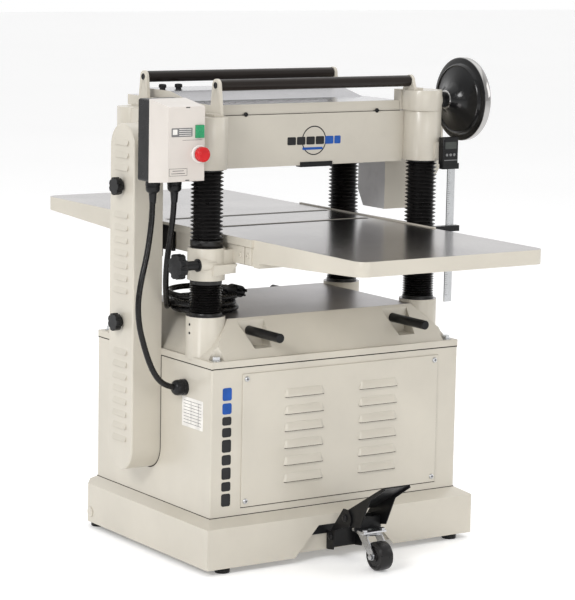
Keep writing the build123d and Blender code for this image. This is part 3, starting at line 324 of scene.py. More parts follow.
NODE_LOOKS = {
    "plinth": "cream", "levelling_feet": "plastic", "cabinet": "cream", "front_panel": "cream",
    "fasteners": "steel", "base_casting": "base", "columns": "steel",
    "head_casting": "cream_cast", "gear_housing": "cream_cast", "dust_hood": "hood",
    "roller_brackets": "cream_cast", "belt_guard": "cream", "switch_box_base": "plastic",
    "switch_box_cover": "cover", "cable_glands": "plastic", "motor_lead": "cord",
    "power_plug": "plastic", "readout_housing": "plastic", "chain_cover": "chain",
    "motor": "motor", "drive_belts": "rubber", "depth_limiter": "black",
    "caster_bracket": "black", "table": "ground", "infeed_extension": "ground",
    "outfeed_extension": "ground", "table_nuts": "steel", "scale_bar": "steel",
    "scale_bracket": "plastic", "infeed_bed_roller": "dark_steel",
    "outfeed_bed_roller": "dark_steel",
    "lock_knob": "plastic", "handwheel": "black", "handwheel_grip": "plastic",
    "front_return_roller": "brown", "rear_return_roller": "brown", "cutterhead": "steel",
    "motor_pulley": "steel", "infeed_roller": "steel", "outfeed_roller": "steel",
    "upper_guard_knob": "plastic", "lower_guard_knob": "plastic", "start_button": "green",
    "stop_button": "red", "pedal": "black", "caster_fork": "zinc", "caster_wheel": "wheel",
    "rear_wheels": "wheel", "front_left_lifting_bar": "black", "front_right_lifting_bar": "black",
    "rear_left_lifting_bar": "black", "rear_right_lifting_bar": "black", "leadscrew_1": "steel",
    "leadscrew_2": "steel", "leadscrew_3": "steel", "leadscrew_4": "steel",
}
for node, look in NODE_LOOKS.items():
    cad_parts[node].data.materials.clear()
    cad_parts[node].data.materials.append(M[look])

# ---- Mesh helpers (numbers in millimetres) --------------------------------------------
X, Y, Z = (1, 0, 0), (0, 1, 0), (0, 0, 1)
LEFTWARD, FORWARD, DOWNWARD = (-1, 0, 0), (0, -1, 0), (0, 0, -1)


class Shape:
    """Collects turned and extruded forms into one piece."""

    def __init__(self):
        self.mesh = bmesh.new()

    def lathe(self, origin, axis, profile, segments=40):
        """Turns (distance along the axis, radius) pairs round an axis."""
        axis = Vector(axis).normalized()
        side = axis.orthogonal().normalized()
        other = axis.cross(side)
        rings = []
        for along, radius in profile:
            centre = Vector(origin) + axis * along
            ring = []
            for step in range(segments if radius > 0.001 else 1):
                turn = math.tau * step / segments
                spoke = side * math.cos(turn) + other * math.sin(turn)
                ring.append(self.mesh.verts.new((centre + spoke * radius) * MM))
            rings.append(ring)
        for near, far in zip(rings, rings[1:]):
            for step in range(segments):
                after = (step + 1) % segments
                corners = (near[step % len(near)], near[after % len(near)],
                           far[after % len(far)], far[step % len(far)])
                corners = list(dict.fromkeys(corners))
                if len(corners) > 2:
                    self.mesh.faces.new(corners)

    def slab(self, origin, u, v, outline, depth):
        """Extrudes an outline drawn along u and v."""
        origin, u, v = Vector(origin), Vector(u), Vector(v)
        rise = u.cross(v) * depth
        flat = [origin + u * a + v * b for a, b in outline]
        near = [self.mesh.verts.new(place * MM) for place in flat]
        far = [self.mesh.verts.new((place + rise) * MM) for place in flat]
        self.mesh.faces.new(reversed(near))
        self.mesh.faces.new(far)
        for step in range(len(flat)):
            after = (step + 1) % len(flat)
            self.mesh.faces.new((near[step], near[after], far[after], far[step]))

    def block(self, x, y, z):
        """Adds a box between two values of x, of y and of z."""
        outline = ((x[0], y[0]), (x[1], y[0]), (x[1], y[1]), (x[0], y[1]))
        self.slab((0, 0, z[0]), X, Y, outline, z[1] - z[0])

    def tile(self, place, size, radius, depth, u=X):
        """Extrudes an upright tile with round corners; it faces the front unless u says."""
        self.slab(place, u, Z, rounded(*size, radius), depth)

    def arc(self, centre, u, v, radii, turns, count, depth):
        """Extrudes a flat ring, or a part of one, between two radii and two angles."""
        (inner, outer), (start, stop) = radii, turns
        for step in range(count):
            first, second = (start + (stop - start) * n / count for n in (step, step + 1))
            corners = ((inner, first), (outer, first), (outer, second), (inner, second))
            self.slab(centre, u, v, [(r * math.cos(a), r * math.sin(a)) for r, a in corners],
                      depth)

    def grid(self, rows):
        """Skins rows of points."""
        made = [[self.mesh.verts.new(Vector(place) * MM) for place in row] for row in rows]
        for low, high in zip(made, made[1:]):
            for step in range(len(low) - 1):
                self.mesh.faces.new((low[step], low[step + 1], high[step + 1], high[step]))

    def finish(self, name, look, body, bevel=0.0, replaces=(), crease=35):
        """Makes the object; body None leaves it unattached."""
        bmesh.ops.recalc_face_normals(self.mesh, faces=self.mesh.faces)
        mesh = bpy.data.meshes.new(name)
        self.mesh.to_mesh(mesh)
        self.mesh.free()
        for polygon in mesh.polygons:
            polygon.use_smooth = True
        mesh.set_sharp_from_angle(angle=math.radians(crease))
        mesh.materials.append(M[look])
        piece = bpy.data.objects.new(name, mesh)
        bpy.context.scene.collection.objects.link(piece)
        if bevel:
            rounding = piece.modifiers.new("bevel", "BEVEL")
            rounding.width = bevel * MM
            rounding.segments = 2
            rounding.limit_method = "ANGLE"
            rounding.angle_limit = math.radians(40)
            rounding.harden_normals = True
        if replaces:
            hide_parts(*replaces)
        if body:
            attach(piece, body)
        return piece


def rounded(width, height, radius, steps=5):
    """Outline of a rectangle with round corners, centred on nought."""
    points = []
    for corner, (sx, sy) in enumerate(((1, 1), (-1, 1), (-1, -1), (1, -1))):
        for step in range(steps + 1):
            turn = math.pi / 2 * (corner + step / steps)
            points.append((sx * (width / 2 - radius) + radius * math.cos(turn),
                           sy * (height / 2 - radius) + radius * math.sin(turn)))
    return points


def millimetres(node):
    """The two corners of a node's box."""
    low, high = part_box(node)
    return low / MM, high / MM


# ---- Leads ----------------------------------------------------------------------------
POWER_ROUTE = [
    (-371, -122, 880), (-370, -119, 837), (-372, -114, 793), (-376, -109, 749),
    (-380, -106, 706), (-376, -96, 666), (-364, -78, 632), (-348, -54.5, 604),
    (-330, -28, 591.5),
]
MOTOR_ROUTE = [
    (-429, -122, 880), (-430, -123, 830), (-438, -127, 778), (-450, -132, 726),
    (-466, -136, 675), (-476, -139, 623), (-473, -141, 570), (-459, -142, 520),
    (-445, -144, 479), (-427, -146, 446), (-402, -147, 425), (-372, -147, 418.5),
]
LEAD_RADIUS = 7.0
COIL_CENTRE = (-243.0, -44.0)
OUTER_TURN, INNER_TURN = 81.0, 66.8
LAYERS = (588.2, 602.5, 617.0)
# Where the winding changes: degrees turned clockwise, radius, height.
WINDING = (
    (146, OUTER_TURN, LAYERS[0]), (-140, OUTER_TURN, LAYERS[0]), (-205, INNER_TURN, LAYERS[0]),
    (-430, INNER_TURN, LAYERS[0]), (-500, INNER_TURN, LAYERS[1]), (-718, INNER_TURN, LAYERS[1]),
    (-785, OUTER_TURN, LAYERS[1]), (-1025, OUTER_TURN, LAYERS[1]), (-1088, OUTER_TURN, LAYERS[2]),
)
COIL_STEP = 24
# The loose turn on top: its last radius, how far it shifts in x and y, and how far it rises.
LOOSE_RADIUS, LOOSE_X, LOOSE_Y, LOOSE_RISE = 73.5, 1.5, 18, 8.2
TAIL_LEVEL, TAIL_BEFORE, TAIL_INSIDE = 625.2, 8, 14


def winding_at(angle):
    """Radius and height of the winding at an angle."""
    for (start, r0, z0), (end, r1, z1) in zip(WINDING, WINDING[1:]):
        if start >= angle >= end:
            share = (start - angle) / (start - end)
            return r0 + share * (r1 - r0), z0 + share * (z1 - z0)
    return WINDING[-1][1:]


def coil_points():
    """The wound turns, then one loose turn on top that ends in the plug's tail."""
    spread = 1 / math.cos(math.radians(COIL_STEP / 2))
    points = []
    angle = WINDING[0][0]
    while angle > WINDING[-1][0]:
        radius, height = winding_at(angle)
        turn = math.radians(angle)
        points.append((COIL_CENTRE[0] + spread * radius * math.cos(turn),
                       COIL_CENTRE[1] + spread * radius * math.sin(turn), height))
        angle -= COIL_STEP
    end = math.floor(WINDING[-1][0] / 360) * 360
    while angle > end:
        share = (WINDING[-1][0] - angle) / (WINDING[-1][0] - end)
        share = share * share * (3 - 2 * share)
        radius = OUTER_TURN + share * (LOOSE_RADIUS - OUTER_TURN)
        turn = math.radians(angle)
        points.append((COIL_CENTRE[0] + spread * radius * math.cos(turn) + share * LOOSE_X,
                       COIL_CENTRE[1] + spread * radius * math.sin(turn) + share * LOOSE_Y,
                       LAYERS[2] + LOOSE_RISE * share))
        angle -= COIL_STEP
    plug_low, plug_high = millimetres("power_plug")
    tail_x = (plug_low[0] + plug_high[0]) / 2
    points.append((tail_x, plug_high[1] + TAIL_BEFORE, TAIL_LEVEL))
    points.append((tail_x, plug_high[1] - TAIL_INSIDE, TAIL_LEVEL))
    return points


def lead_piece(name, points, replaces):
    """A lead as one round tube along a smooth curve."""
    curve = bpy.data.curves.new(name, "CURVE")
    curve.dimensions = "3D"
    spline = curve.splines.new("NURBS")
    spline.points.add(len(points) - 1)
    for point, place in zip(spline.points, points):
        point.co = (*(Vector(place) * MM), 1)
    spline.order_u = 3
    spline.use_endpoint_u = True
    curve.resolution_u = 8
    curve.bevel_depth = LEAD_RADIUS * MM
    curve.bevel_resolution = 5
    curve.use_fill_caps = True
    curve.materials.append(M["cord"])
    piece = bpy.data.objects.new(name, curve)
    bpy.context.scene.collection.objects.link(piece)
    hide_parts(*replaces)
    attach(piece, "machine")
    return piece


power_cord = lead_piece("power_cord", POWER_ROUTE + coil_points(),
                        ("power_lead", "power_lead_coil"))
motor_cable = lead_piece("motor_cable", MOTOR_ROUTE, ("motor_lead",))

# Domed gland nuts: two with tapered strain reliefs, and a short one on the cabinet.
RELIEF_PROFILE = ((0, 0), (0, 17), (11, 17), (12, 15.5), (13, 16.5), (20, 16.5), (24, 15),
                  (27, 11.5), (28, 9.6), (52, 7.6), (52, 0))
SHORT_PROFILE = ((0, 0), (0, 19), (11, 19), (12, 17.5), (13, 18.5), (21, 18.5), (27, 17),
                 (31, 13), (32.5, 9.5), (33, 0))
GLANDS = (
    ((-429, -122, 903), DOWNWARD, RELIEF_PROFILE), ((-371, -122, 903), DOWNWARD, RELIEF_PROFILE),
    ((-351, -147, 419), LEFTWARD, SHORT_PROFILE),
)
GLAND_RIBS, RIB_START, RIB_RADIUS, RIB_DEPTH = 12, 12.5, 15, 2.6
RIB_OUTLINE = ((-1.6, 0), (1.6, 0), (1.3, 9), (-1.3, 9))


def gland(shape, origin, axis, profile):
    """A gland nut with ribs round its grip."""
    shape.lathe(origin, axis, profile, 36)
    axis = Vector(axis)
    side = axis.orthogonal().normalized()
    other = axis.cross(side)
    for rib in range(GLAND_RIBS):
        turn = math.tau * rib / GLAND_RIBS
        out = side * math.cos(turn) + other * math.sin(turn)
        foot = Vector(origin) + axis * RIB_START + out * RIB_RADIUS
        shape.slab(foot, axis.cross(out), axis, RIB_OUTLINE, -RIB_DEPTH)


glands = Shape()
for origin, axis, profile in GLANDS:
    gland(glands, origin, axis, profile)
glands.finish("gland_nuts", "plastic", "machine", replaces=("cable_glands",))

# ---- Bellows --------------------------------------------------------------------------
COLUMN_X, COLUMN_Y = 308, 164
COLUMNS = [(sx * COLUMN_X, sy * COLUMN_Y) for sx in (-1, 1) for sy in (-1, 1)]
CREST, VALLEY = 38.4, 31.0
CUFF = CREST - 0.6


def pleats(low, high, count):
    """Profile of rubber pleats between two heights."""
    pitch = (high - low) / count
    points = []
    for pleat in range(count):
        base = low + pleat * pitch
        for share, radius in ((0.0, VALLEY), (0.14, VALLEY + 0.9), (0.42, CREST - 0.7),
                              (0.5, CREST), (0.58, CREST - 0.7), (0.86, VALLEY + 0.9)):
            points.append((base + share * pitch, radius))
    points.append((high, VALLEY))
    return points


def bellows(name, low, high, cuff_low, cuff_high, count, node):
    """Pleats between two cuffs, round all four columns; on the machine they stretch as the table
    moves, while this piece is left unattached.
    """
    profile = [(low, VALLEY), (low, CUFF), (low + cuff_low * 0.46, CUFF),
               (low + cuff_low * 0.5, CREST - 2.8), (low + cuff_low * 0.54, CUFF),
               (low + cuff_low * 0.95, CREST - 0.2), (low + cuff_low, CREST - 1)]
    profile += pleats(low + cuff_low + 1, high - cuff_high - 1, count)
    profile += [(high - cuff_high, CREST - 1), (high - cuff_high * 0.5, CREST - 0.4),
                (high, CUFF), (high, VALLEY)]
    shape = Shape()
    for x, y in COLUMNS:
        shape.lathe((x, y, 0), Z, profile, 56)
    piece = shape.finish(name, "rubber", None, replaces=(node,), crease=60)
    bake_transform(piece)


bellows("upper_pleats", low=736, high=942, cuff_low=30, cuff_high=16, count=17,
        node="upper_bellows")
bellows("lower_pleats", low=576, high=685, cuff_low=20, cuff_high=22, count=11,
        node="lower_bellows")

# ---- Front panel ----------------------------------------------------------------------
(PANEL_LEFT, _, PANEL_LOW), (PANEL_RIGHT, PANEL_BACK, PANEL_HIGH) = millimetres("front_panel")
PANEL_THICK = 3
PANEL_FACE = PANEL_BACK - PANEL_THICK
LOUVRE_WIDTH, LOUVRE_HEIGHT, LOUVRE_OUT, LOUVRE_PITCH = 114.0, 20.0, 4.6, 40.7
LOUVRE_LOW, LOUVRE_ROWS, LOUVRE_MIDDLES = 193.0, 6, (-94.5, 119.5)
LOUVRE_RISES, LOUVRE_STEPS, LOUVRE_FLAT = 8, 32, 0.82


def louvre(shape, middle, low):
    """A pressed louvre: rounded ends, open along its bottom edge."""
    rows = []
    for rise in range(LOUVRE_RISES + 1):
        t = rise / LOUVRE_RISES
        row = []
        for step in range(LOUVRE_STEPS + 1):
            s = step / LOUVRE_STEPS * 2 - 1
            past = max(0.0, (abs(s) - LOUVRE_FLAT) / (1 - LOUVRE_FLAT))
            reach = max(0.0, 1 - past ** 2) ** 0.5
            bulge = LOUVRE_OUT * reach * math.cos(t * math.pi / 2) ** 0.8
            row.append((middle + s * LOUVRE_WIDTH / 2 * (1 - 0.11 * t), PANEL_FACE - 0.2 - bulge,
                        low + t * LOUVRE_HEIGHT))
        rows.append(row)
    lip = [(x, y + 2.2, low + 0.4) for x, y, _ in rows[0]]
    shape.grid([lip] + rows)


panel = Shape()
panel.slab(((PANEL_LEFT + PANEL_RIGHT) / 2, PANEL_BACK, (PANEL_LOW + PANEL_HIGH) / 2), X, Z,
           rounded(PANEL_RIGHT - PANEL_LEFT, PANEL_HIGH - PANEL_LOW, 2), PANEL_THICK)
# Dark blocks behind the louvres' open edges: painted shade inside the openings.
slot_shade = Shape()
for middle in LOUVRE_MIDDLES:
    for row in range(LOUVRE_ROWS):
        low = LOUVRE_LOW + row * LOUVRE_PITCH
        louvre(panel, middle, low)
        slot_shade.block((middle - LOUVRE_WIDTH / 2 + 3, middle + LOUVRE_WIDTH / 2 - 3),
                    (PANEL_FACE - 4.0, PANEL_FACE + 0.1), (low - 0.9, low + 0.5))
panel.finish("louvred_panel", "cream", "machine", bevel=0.8,
             replaces=("front_panel",), crease=30)
slot_shade.finish("louvre_slot_shade", "shadow", "machine")

# Cross-head screws at the panel's corners, with dark crosses that are painted shade in their
# recesses.
PANEL_SCREWS = [(x, z) for x in (PANEL_LEFT + 11, PANEL_RIGHT - 11) for z in (159, 449)]
CROSS_REACH, CROSS_WIDTH = 3.2, 0.7
cross_depth = (PANEL_FACE - 4.2, PANEL_FACE - 2)
marks = Shape()
hood_screws_and_cross_shade = Shape()
for x, z in PANEL_SCREWS:
    marks.lathe((x, PANEL_FACE, z), FORWARD,
                ((0, 6.5), (1.6, 6.2), (3.2, 4.6), (3.8, 2.4), (3.9, 0)), 28)
    # A dark cross on each head: painted shade in the cross recess.
    for wide, high in ((CROSS_REACH, CROSS_WIDTH), (CROSS_WIDTH, CROSS_REACH)):
        hood_screws_and_cross_shade.block((x - wide, x + wide), cross_depth, (z - high, z + high))
marks.finish("panel_screws", "zinc", "machine")

# Screws in the hood's front edge; they share a piece with the painted shade of the panel screws'
# cross recesses.
HOOD_EDGE = -142
for x in (-191.0, 186.0):
    hood_screws_and_cross_shade.lathe((x, HOOD_EDGE, 1050.5), FORWARD,
                  ((0, 5.5), (2.4, 5.2), (4.4, 3.2), (4.8, 0)), 24)
    hood_screws_and_cross_shade.block((x - 10, x - 4), (HOOD_EDGE - 3, HOOD_EDGE), (1048.5, 1051))
hood_screws_and_cross_shade.finish("hood_screws_and_slot_shade", "black", "machine", bevel=0.2)

# ---- Joint shade: painted shade in the gaps between parts -----------------------------
(CAB_LEFT, CAB_FRONT, CAB_LOW), (CAB_RIGHT, CAB_REAR, CAB_HIGH) = millimetres("cabinet")


def shade_band(shape, z, out):
    """A thin dark strip right round the cabinet: painted shade in the joint."""
    for y in ((CAB_FRONT - out, CAB_FRONT + 2), (CAB_REAR - 2, CAB_REAR + out)):
        shape.block((CAB_LEFT - out, CAB_RIGHT + out), y, z)
    for x in ((CAB_LEFT - out, CAB_LEFT + 2), (CAB_RIGHT - 2, CAB_RIGHT + out)):
        shape.block(x, (CAB_FRONT, CAB_REAR), z)


joint_shade = Shape()
# Painted shade along the cabinet's joints at its foot and at its top.
shade_band(joint_shade, (CAB_LOW - 0.2, CAB_LOW + 1.6), 0.25)
shade_band(joint_shade, (CAB_HIGH - 0.4, CAB_HIGH + 2.2), -0.6)

# Painted shade where the hood sits on the head.
hood_low, hood_high = millimetres("dust_hood")
joint_shade.block((hood_low[0], hood_high[0]), (-143.15, -139), (1048.6, 1049.7))

# Painted shade in the gap round the lower end of the belt guard and up both its sides.
GUARD_RADIUS, GAP_WIDTH = 56.0, 2.4
(_, guard_front, guard_low), (_, guard_rear, _) = millimetres("belt_guard")
guard_turn = Vector((CAB_LEFT, (guard_front + guard_rear) / 2, guard_low + GUARD_RADIUS))
joint_shade.arc(guard_turn, FORWARD, Z, (GUARD_RADIUS - 1, GUARD_RADIUS + GAP_WIDTH),
          (math.pi, math.tau), 24, 0.25)
for y in (guard_front - GAP_WIDTH, guard_rear):
    joint_shade.block((CAB_LEFT - 0.25, CAB_LEFT + 1), (y, y + GAP_WIDTH), (guard_turn[2], CAB_HIGH))

# Painted shade in the gap under the front panel and along its right edge.
PANEL_GAP, SIDE_GAP = 2.2, 1.8
panel_shade_y = (CAB_FRONT - 0.3, CAB_FRONT + 1)
joint_shade.block((PANEL_LEFT, PANEL_RIGHT), panel_shade_y, (PANEL_LOW - PANEL_GAP, PANEL_LOW))
joint_shade.block((PANEL_RIGHT, PANEL_RIGHT + SIDE_GAP), panel_shade_y, (PANEL_LOW - PANEL_GAP, PANEL_HIGH))
joint_shade.finish("painted_joint_shade", "shadow", "machine")

# ---- Generic marks and labels ---------------------------------------------------------
EMBLEM_AT = Vector((3.0, -143.0, 984.0))
PRINT_DEPTH = 0.5


def emblem_blocks(shape, blocks):
    """Blocks in a row, each given by its left edge and its width."""
    for left, width in blocks:
        shape.tile(EMBLEM_AT + Vector((left + width / 2, 0, 0)), (width, 19), 3, PRINT_DEPTH)


emblem = Shape()
emblem.arc(EMBLEM_AT, X, Z, (32.4, 35.0), (0, math.tau), 48, 0.35)
emblem_blocks(emblem, ((-76, 24), (-49, 24), (-22, 24), (5, 24)))
emblem.finish("beam_emblem", "ink", "machine")
emblem_bar = Shape()
emblem_blocks(emblem_bar, ((32, 24), (59, 18)))
emblem_bar.tile(EMBLEM_AT + Vector((-4, 0, -19)), (58, 6), 2, PRINT_DEPTH)
emblem_bar.finish("beam_emblem_accent", "blue", "machine")

# A column of blocks on the cabinet's front, each given by its lower edge and its height.
STRIPE_X, STRIPE_WIDTH, STRIPE_CORNER = -308, 25, 5
for name, look, blocks in (
        ("cabinet_stripe", "ink",
         ((152, 30), (188, 22), (216, 28), (250, 24), (280, 30), (316, 22), (344, 20))),
        ("cabinet_stripe_accent", "blue", ((370, 26), (402, 30)))):
    stripe = Shape()
    for low, height in blocks:
        stripe.tile((STRIPE_X, CAB_FRONT, low + height / 2), (STRIPE_WIDTH, height),
                    STRIPE_CORNER, PRINT_DEPTH)
    stripe.finish(name, look, "machine")

# A ruled label on the cabinet's left side.
LABEL_Y, LABEL_Z = -183.0, 362.0
labels = Shape()
labels.tile((CAB_LEFT, LABEL_Y, LABEL_Z), (92, 70), 2, PRINT_DEPTH, FORWARD)
labels.finish("cabinet_label", "paper", "machine")
label_lines = Shape()
for line in range(8):
    label_lines.tile((CAB_LEFT - PRINT_DEPTH, LABEL_Y, LABEL_Z - 26 + line * 7.5), (78, 0.9),
                     0.4, 0.15, FORWARD)
for cut in (-26, 6):
    label_lines.tile((CAB_LEFT - PRINT_DEPTH, LABEL_Y + cut, LABEL_Z), (0.8, 52), 0.3, 0.15,
                     FORWARD)

# Lines and slots on the switch box cover: middle x, middle z, width, height.
COVER_FACE = -232.0
COVER_LINES = (
    (-428.5, 941, 47, 0.8), (-428.5, 925, 47, 0.8), (-452, 933, 0.8, 16), (-405, 933, 0.8, 16),
    (-428.5, 936, 30, 1.2), (-428.5, 930, 36, 1.2), (-392, 1005, 52, 0.7),
)
for x, z, width, height in COVER_LINES:
    label_lines.tile((x, COVER_FACE, z), (width, height), 0.3, 0.2)
for z in (1079, 914):
    label_lines.tile((-404, COVER_FACE, z), (11, 2.4), 1, 0.2)
label_lines.finish("label_lines", "ink", "machine")

# The plate beside the start button.
plate = Shape()
plate.tile((-419.5, COVER_FACE, 1023), (55, 20), 1.5, PRINT_DEPTH)
plate.finish("switch_plate", "grey_label", "machine")
plate_lines = Shape()
for line in range(4):
    plate_lines.tile((-411, COVER_FACE - PRINT_DEPTH, 1016.5 + line * 4.4), (32, 1.3), 0.5, 0.2)
plate_lines.tile((-438, COVER_FACE - PRINT_DEPTH, 1024), (12, 12), 1, 0.2)
plate_lines.finish("switch_plate_lines", "paper", "machine")

# The collar round the stop button and three arrows on its cap.
STOP_X, STOP_Z = -374, 973
collar = Shape()
collar.lathe((STOP_X, COVER_FACE, STOP_Z), FORWARD,
             ((0, 19.5), (1.5, 20.5), (3.5, 20), (4.2, 18), (4.2, 15), (2, 14)), 48)
collar.finish("stop_collar", "paper", "machine")
cap_mark = Shape()
stop_face = millimetres("stop_button")[0][1]
for turn in (0.3, 2.4, 4.5):
    out = Vector((math.cos(turn), 0, math.sin(turn)))
    side = Vector((-math.sin(turn), 0, math.cos(turn)))
    cap_mark.slab(Vector((STOP_X, stop_face + 0.1, STOP_Z)) + out * 8, side, out,
                  ((-3, -1), (3, -1), (0, 3)), 0.35)
cap_mark.finish("stop_arrows", "paper", "stop_button")

# ---- Handwheel ------------------------------------------------------------------------
# Axes of the wheel and its grip; profiles are in x along them.
WHEEL_AT = (0, -COLUMN_Y, 1074)
GRIP_AT = (0, -90, 1040)
dish = Shape()
dish.lathe(WHEEL_AT, X, ((326, 0), (326, 10), (355, 10), (355, 17), (357, 19), (374, 19),
                         (375, 22), (379, 25), (388, 31), (398, 43), (406, 58), (411, 72),
                         (413, 80), (411, 82.5), (412.5, 84.5), (418, 88), (419, 97),
                         (421, 100.5), (423, 101.6)), 96)
dish.lathe(WHEEL_AT, X, ((437, 101), (438, 92), (434, 84), (426, 81), (420, 60), (412, 36),
                         (408, 22), (404, 14), (404, 8), (402, 0)), 96)
dish.lathe(GRIP_AT, X, ((428, 9.5), (442, 9), (445, 8), (445, 4.6), (474.4, 4.6), (474.4, 0)),
           32)
dish.finish("handwheel_dish", "gloss_black", "handwheel",
            replaces=("handwheel",), crease=28)
rim = Shape()
rim.lathe(WHEEL_AT, X, ((421, 99), (422, 101.8), (424, 102.4), (436, 102.4), (439, 100.5),
                        (439, 92)), 96)
rim.lathe(WHEEL_AT, X, ((373.5, 18.6), (374, 21.2), (376, 22.8), (377, 22)), 64)
rim.finish("handwheel_rim", "chrome", "handwheel", crease=40)

# ---- Table details --------------------------------------------------------------------
# A dark patch on the left side of the table.
dark_patch = Shape()
dark_patch.block((-264.8, -256.6), (57, 124), (709, 769))
dark_patch.finish("table_side_dark_patch", "black", "table", bevel=0.8)
PAD_IN, PAD_OUT, PAD_HALF = 256, 261.5, 12
pads = Shape()
bolts = Shape()
for y in (-270, -240, 240, 270):
    for side, axis in ((-1, LEFTWARD), (1, X)):
        pads.block(sorted((side * PAD_IN, side * PAD_OUT)), (y - PAD_HALF, y + PAD_HALF),
                   (716, 757))
        bolts.lathe((side * PAD_OUT, y, 737), axis,
                    ((0, 6), (2.6, 6), (3.2, 5), (3.2, 3), (1.2, 2.8), (1.2, 0)), 20)
pads.finish("table_side_pads", "cream_cast", "table", bevel=1.5)
bolts.finish("table_side_bolts", "cream_cast", "table")

screws = Shape()
for z in (550, 570):
    screws.lathe((-353.4, -168.5, z), (-0.995, -0.1, 0),
                 ((0, 3.2), (0.7, 3.2), (0.9, 2.4), (0.9, 0)), 16)
screws.finish("boss_set_screws", "black", "machine")

# ---- Readout --------------------------------------------------------------------------
READ_FACE = millimetres("readout_housing")[0][1]
screen = Shape()
screen.tile((344, READ_FACE, 968), (34, 17), 2, 0.6)
screen.finish("readout_screen", "screen", "machine")
keys = Shape()
for x in (333, 344, 355):
    keys.lathe((x, READ_FACE, 945), FORWARD, ((0, 3.6), (1, 3.4), (1.5, 2.4), (1.6, 0)), 20)
keys.tile((345, READ_FACE, 932), (40, 2), 0.8, 0.6)
keys.finish("readout_keys", "grey_label", "machine")
TICK_COUNT, TICK_LOW, TICK_PITCH, LONG_TICK, SHORT_TICK = 64, 600, 5, 8, 4.5
bar_left, bar_face, _ = millimetres("scale_bar")[0]
ticks = Shape()
for mark in range(TICK_COUNT):
    reach = LONG_TICK if mark % 5 == 0 else SHORT_TICK
    ticks.tile((bar_left + 1 + reach / 2, bar_face, TICK_LOW + mark * TICK_PITCH), (reach, 0.7),
               0.2, 0.12)
ticks.finish("scale_ticks", "ink", "table")

# ---- Caster details -------------------------------------------------------------------
SWIVEL_X, SWIVEL_Y = 6.0, -402.0
wheel_low, wheel_high = millimetres("caster_wheel")
AXLE = tuple((wheel_low + wheel_high) / 2)
swivel = Shape()
swivel.slab((SWIVEL_X, SWIVEL_Y, 90.1), X, Y, rounded(66, 52, 3), -4.8)
for x in (SWIVEL_X - 25, SWIVEL_X + 25):
    for y in (SWIVEL_Y - 18, SWIVEL_Y + 18):
        swivel.lathe((x, y, 90), Z, ((0, 6.5), (4, 6.5), (5, 5.4), (5, 0)), 6)
swivel.finish("caster_top_plate", "zinc", "pedal", bevel=0.5)
race = Shape()
race.lathe((SWIVEL_X, SWIVEL_Y, 77.5), Z,
           ((0, 18), (1.5, 24), (4.6, 26.4), (6.2, 25.6), (7.4, 21)), 48)
race.lathe((AXLE[0] - 28, AXLE[1], AXLE[2]), LEFTWARD,
           ((0, 7.5), (1.5, 7.5), (2.2, 6), (2.2, 0)), 6)
race.finish("caster_race", "zinc", "caster_fork")

# The tyre's section, from one side of the hub over the tread to the other.
TYRE_HALF = ((18.4, 4.2), (18.4, 12), (15.5, 13), (15.5, 24), (18.2, 26), (18.2, 29), (15, 33),
             (9, 34.2))
tyre = Shape()
tyre.lathe(AXLE, X, [(-along, radius) for along, radius in TYRE_HALF] + list(TYRE_HALF[::-1]), 72)
tyre.finish("caster_tyre", "wheel", "caster_wheel", replaces=("caster_wheel",))
pins = Shape()
for x, axis in ((-36.5, LEFTWARD), (48.5, X)):
    for y, z in ((-362, 113), (-306, 56)):
        pins.lathe((x, y, z), axis, ((0, 8.5), (2.5, 8.5), (4.6, 6.5), (5.4, 3), (5.6, 0)), 28)
pins.finish("pedal_pins", "black", "machine")
REAR_AXLE_Y, REAR_AXLE_Z = 248, 39.5
axle = Shape()
for x, axis in ((-378, LEFTWARD), (388, X)):
    axle.lathe((x, REAR_AXLE_Y, REAR_AXLE_Z), axis,
               ((0, 12.5), (2.1, 12.5), (2.7, 11.5), (2.9, 6), (3, 0)), 36)
axle.finish("rear_axle_caps", "cream", "machine")

# ---- Hood knobs and bracket screws ----------------------------------------------------
HOOD_KNOB_Y, HOOD_KNOB_Z, RETURN_ROLLER_Z = 150, 1091.5, 1122
knobs = Shape()
for x in (-243.0, -198.0):
    knobs.lathe((x, HOOD_KNOB_Y, HOOD_KNOB_Z), Z,
                ((0, 7), (3, 7), (4, 9.5), (10, 9.5), (12, 8), (12.6, 5), (12.8, 0)), 28)
knobs.finish("hood_knobs", "plastic", "machine")
ends = Shape()
for x, axis in ((-289, LEFTWARD), (272, X)):
    for y in (-COLUMN_Y, COLUMN_Y):
        ends.lathe((x, y, RETURN_ROLLER_Z), axis,
                   ((0, 7.5), (1.2, 7.5), (1.2, 4.2), (0.4, 4.0), (0.4, 0)), 30)
ends.finish("roller_end_screws", "black", "machine")

# ---- Softened edges on sheet and cast parts -------------------------------------------
WELD_DISTANCE, EDGE_ANGLE = 0.00001, 42
EDGE_RADII = {
    "base_casting": 2.5, "head_casting": 2.0, "cabinet": 1.2, "dust_hood": 1.2,
    "gear_housing": 2.0, "chain_cover": 1.4, "infeed_extension": 1.4, "outfeed_extension": 1.4,
    "table": 1.2, "roller_brackets": 1.0, "pedal": 0.6, "caster_bracket": 0.6,
    "readout_housing": 1.0, "lock_knob": 1.6, "upper_guard_knob": 2.2, "lower_guard_knob": 2.2,
    "switch_box_cover": 1.2, "start_button": 0.8, "power_plug": 1.2, "levelling_feet": 0.6,
}
for node, radius in EDGE_RADII.items():
    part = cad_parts[node]
    weld = part.modifiers.new("weld", "WELD")
    weld.merge_threshold = WELD_DISTANCE
    edge = part.modifiers.new("bevel", "BEVEL")
    edge.width = radius * MM
    edge.segments = 2
    edge.limit_method = "ANGLE"
    edge.angle_limit = math.radians(EDGE_ANGLE)
    edge.use_clamp_overlap = True
    edge.harden_normals = True


# ---- Lights, floor and world ----------------------------------------------------------
FLOOR_HALF = 30


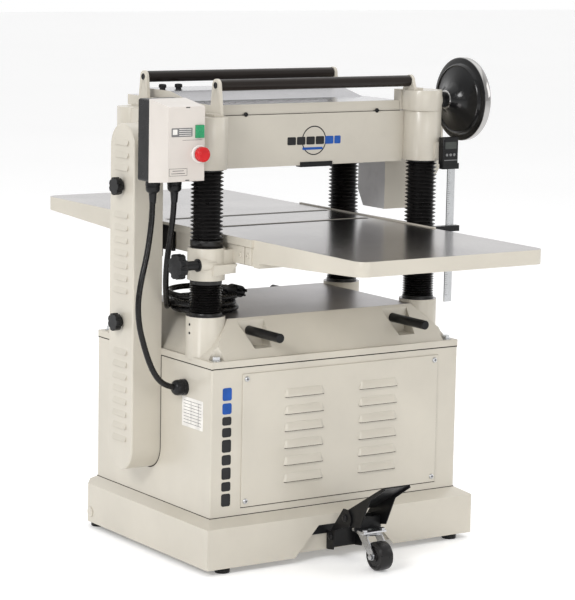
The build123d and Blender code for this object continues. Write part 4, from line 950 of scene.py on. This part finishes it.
def add_light(name, place, target, size, power):
    """An area light that points at a target."""
    data = bpy.data.lights.new(name, "AREA")
    data.shape = "RECTANGLE"
    data.size, data.size_y = size
    data.energy = power
    light = bpy.data.objects.new(name, data)
    light.location = place
    light.rotation_euler = (Vector(target) - Vector(place)).to_track_quat("-Z", "Y").to_euler()
    bpy.context.scene.collection.objects.link(light)


def add_floor():
    """A wide pale floor that glows a little, so that it meets the background."""
    mesh = bpy.data.meshes.new("floor")
    corners = [(x * FLOOR_HALF, y * FLOOR_HALF, 0) for x, y in ((-1, -1), (1, -1), (1, 1), (-1, 1))]
    mesh.from_pydata(corners, [], [(0, 1, 2, 3)])
    floor = bpy.data.objects.new("floor", mesh)
    bpy.context.scene.collection.objects.link(floor)
    n = Nodes("pale_floor")
    tone = n.ramp(n.noise(scale=0.8, detail=3), (0.93, 0.93, 0.93), (0.95, 0.95, 0.95))
    n.link(tone, n.shader.inputs["Base Color"])
    n.shader.inputs["Roughness"].default_value = 0.7
    n.shader.inputs["Emission Color"].default_value = (1, 1, 1, 1)
    n.shader.inputs["Emission Strength"].default_value = 0.2
    mesh.materials.append(n.material)


def add_world():
    """Pale all round, and a little dimmer in front of the machine than behind it."""
    world = bpy.data.worlds.new("studio")
    world.use_nodes = True
    nodes, links = world.node_tree.nodes, world.node_tree.links
    background = nodes["Background"]
    background.inputs["Color"].default_value = (1, 1, 1, 1)
    direction = nodes.new("ShaderNodeTexCoord").outputs["Generated"]
    towards = nodes.new("ShaderNodeVectorMath")
    towards.operation = "DOT_PRODUCT"
    towards.inputs[1].default_value = (0.56, 0.83, 0)
    links.new(direction, towards.inputs[0])
    strength = nodes.new("ShaderNodeMapRange")
    for key, value in (("From Min", -0.2), ("From Max", 0.5), ("To Min", 0.6), ("To Max", 1.0)):
        strength.inputs[key].default_value = value
    links.new(towards.outputs["Value"], strength.inputs["Value"])
    links.new(strength.outputs["Result"], background.inputs["Strength"])
    bpy.context.scene.world = world
    bpy.context.scene.view_settings.view_transform = "Standard"


add_light("key", place=(-4.6, -2.4, 3.2), target=(0, 0, 0.7), size=(1.6, 1.6), power=135)
add_light("front", place=(-0.6, -5.0, 1.5), target=(0, 0, 0.5), size=(2.2, 1.4), power=34)
add_light("right", place=(4.0, -2.4, 2.4), target=(0, 0, 0.7), size=(2.0, 2.0), power=22)
add_light("top", place=(0.3, 0.5, 5.0), target=(0, 0, 0.8), size=(7, 7), power=100)
add_floor()
add_world()
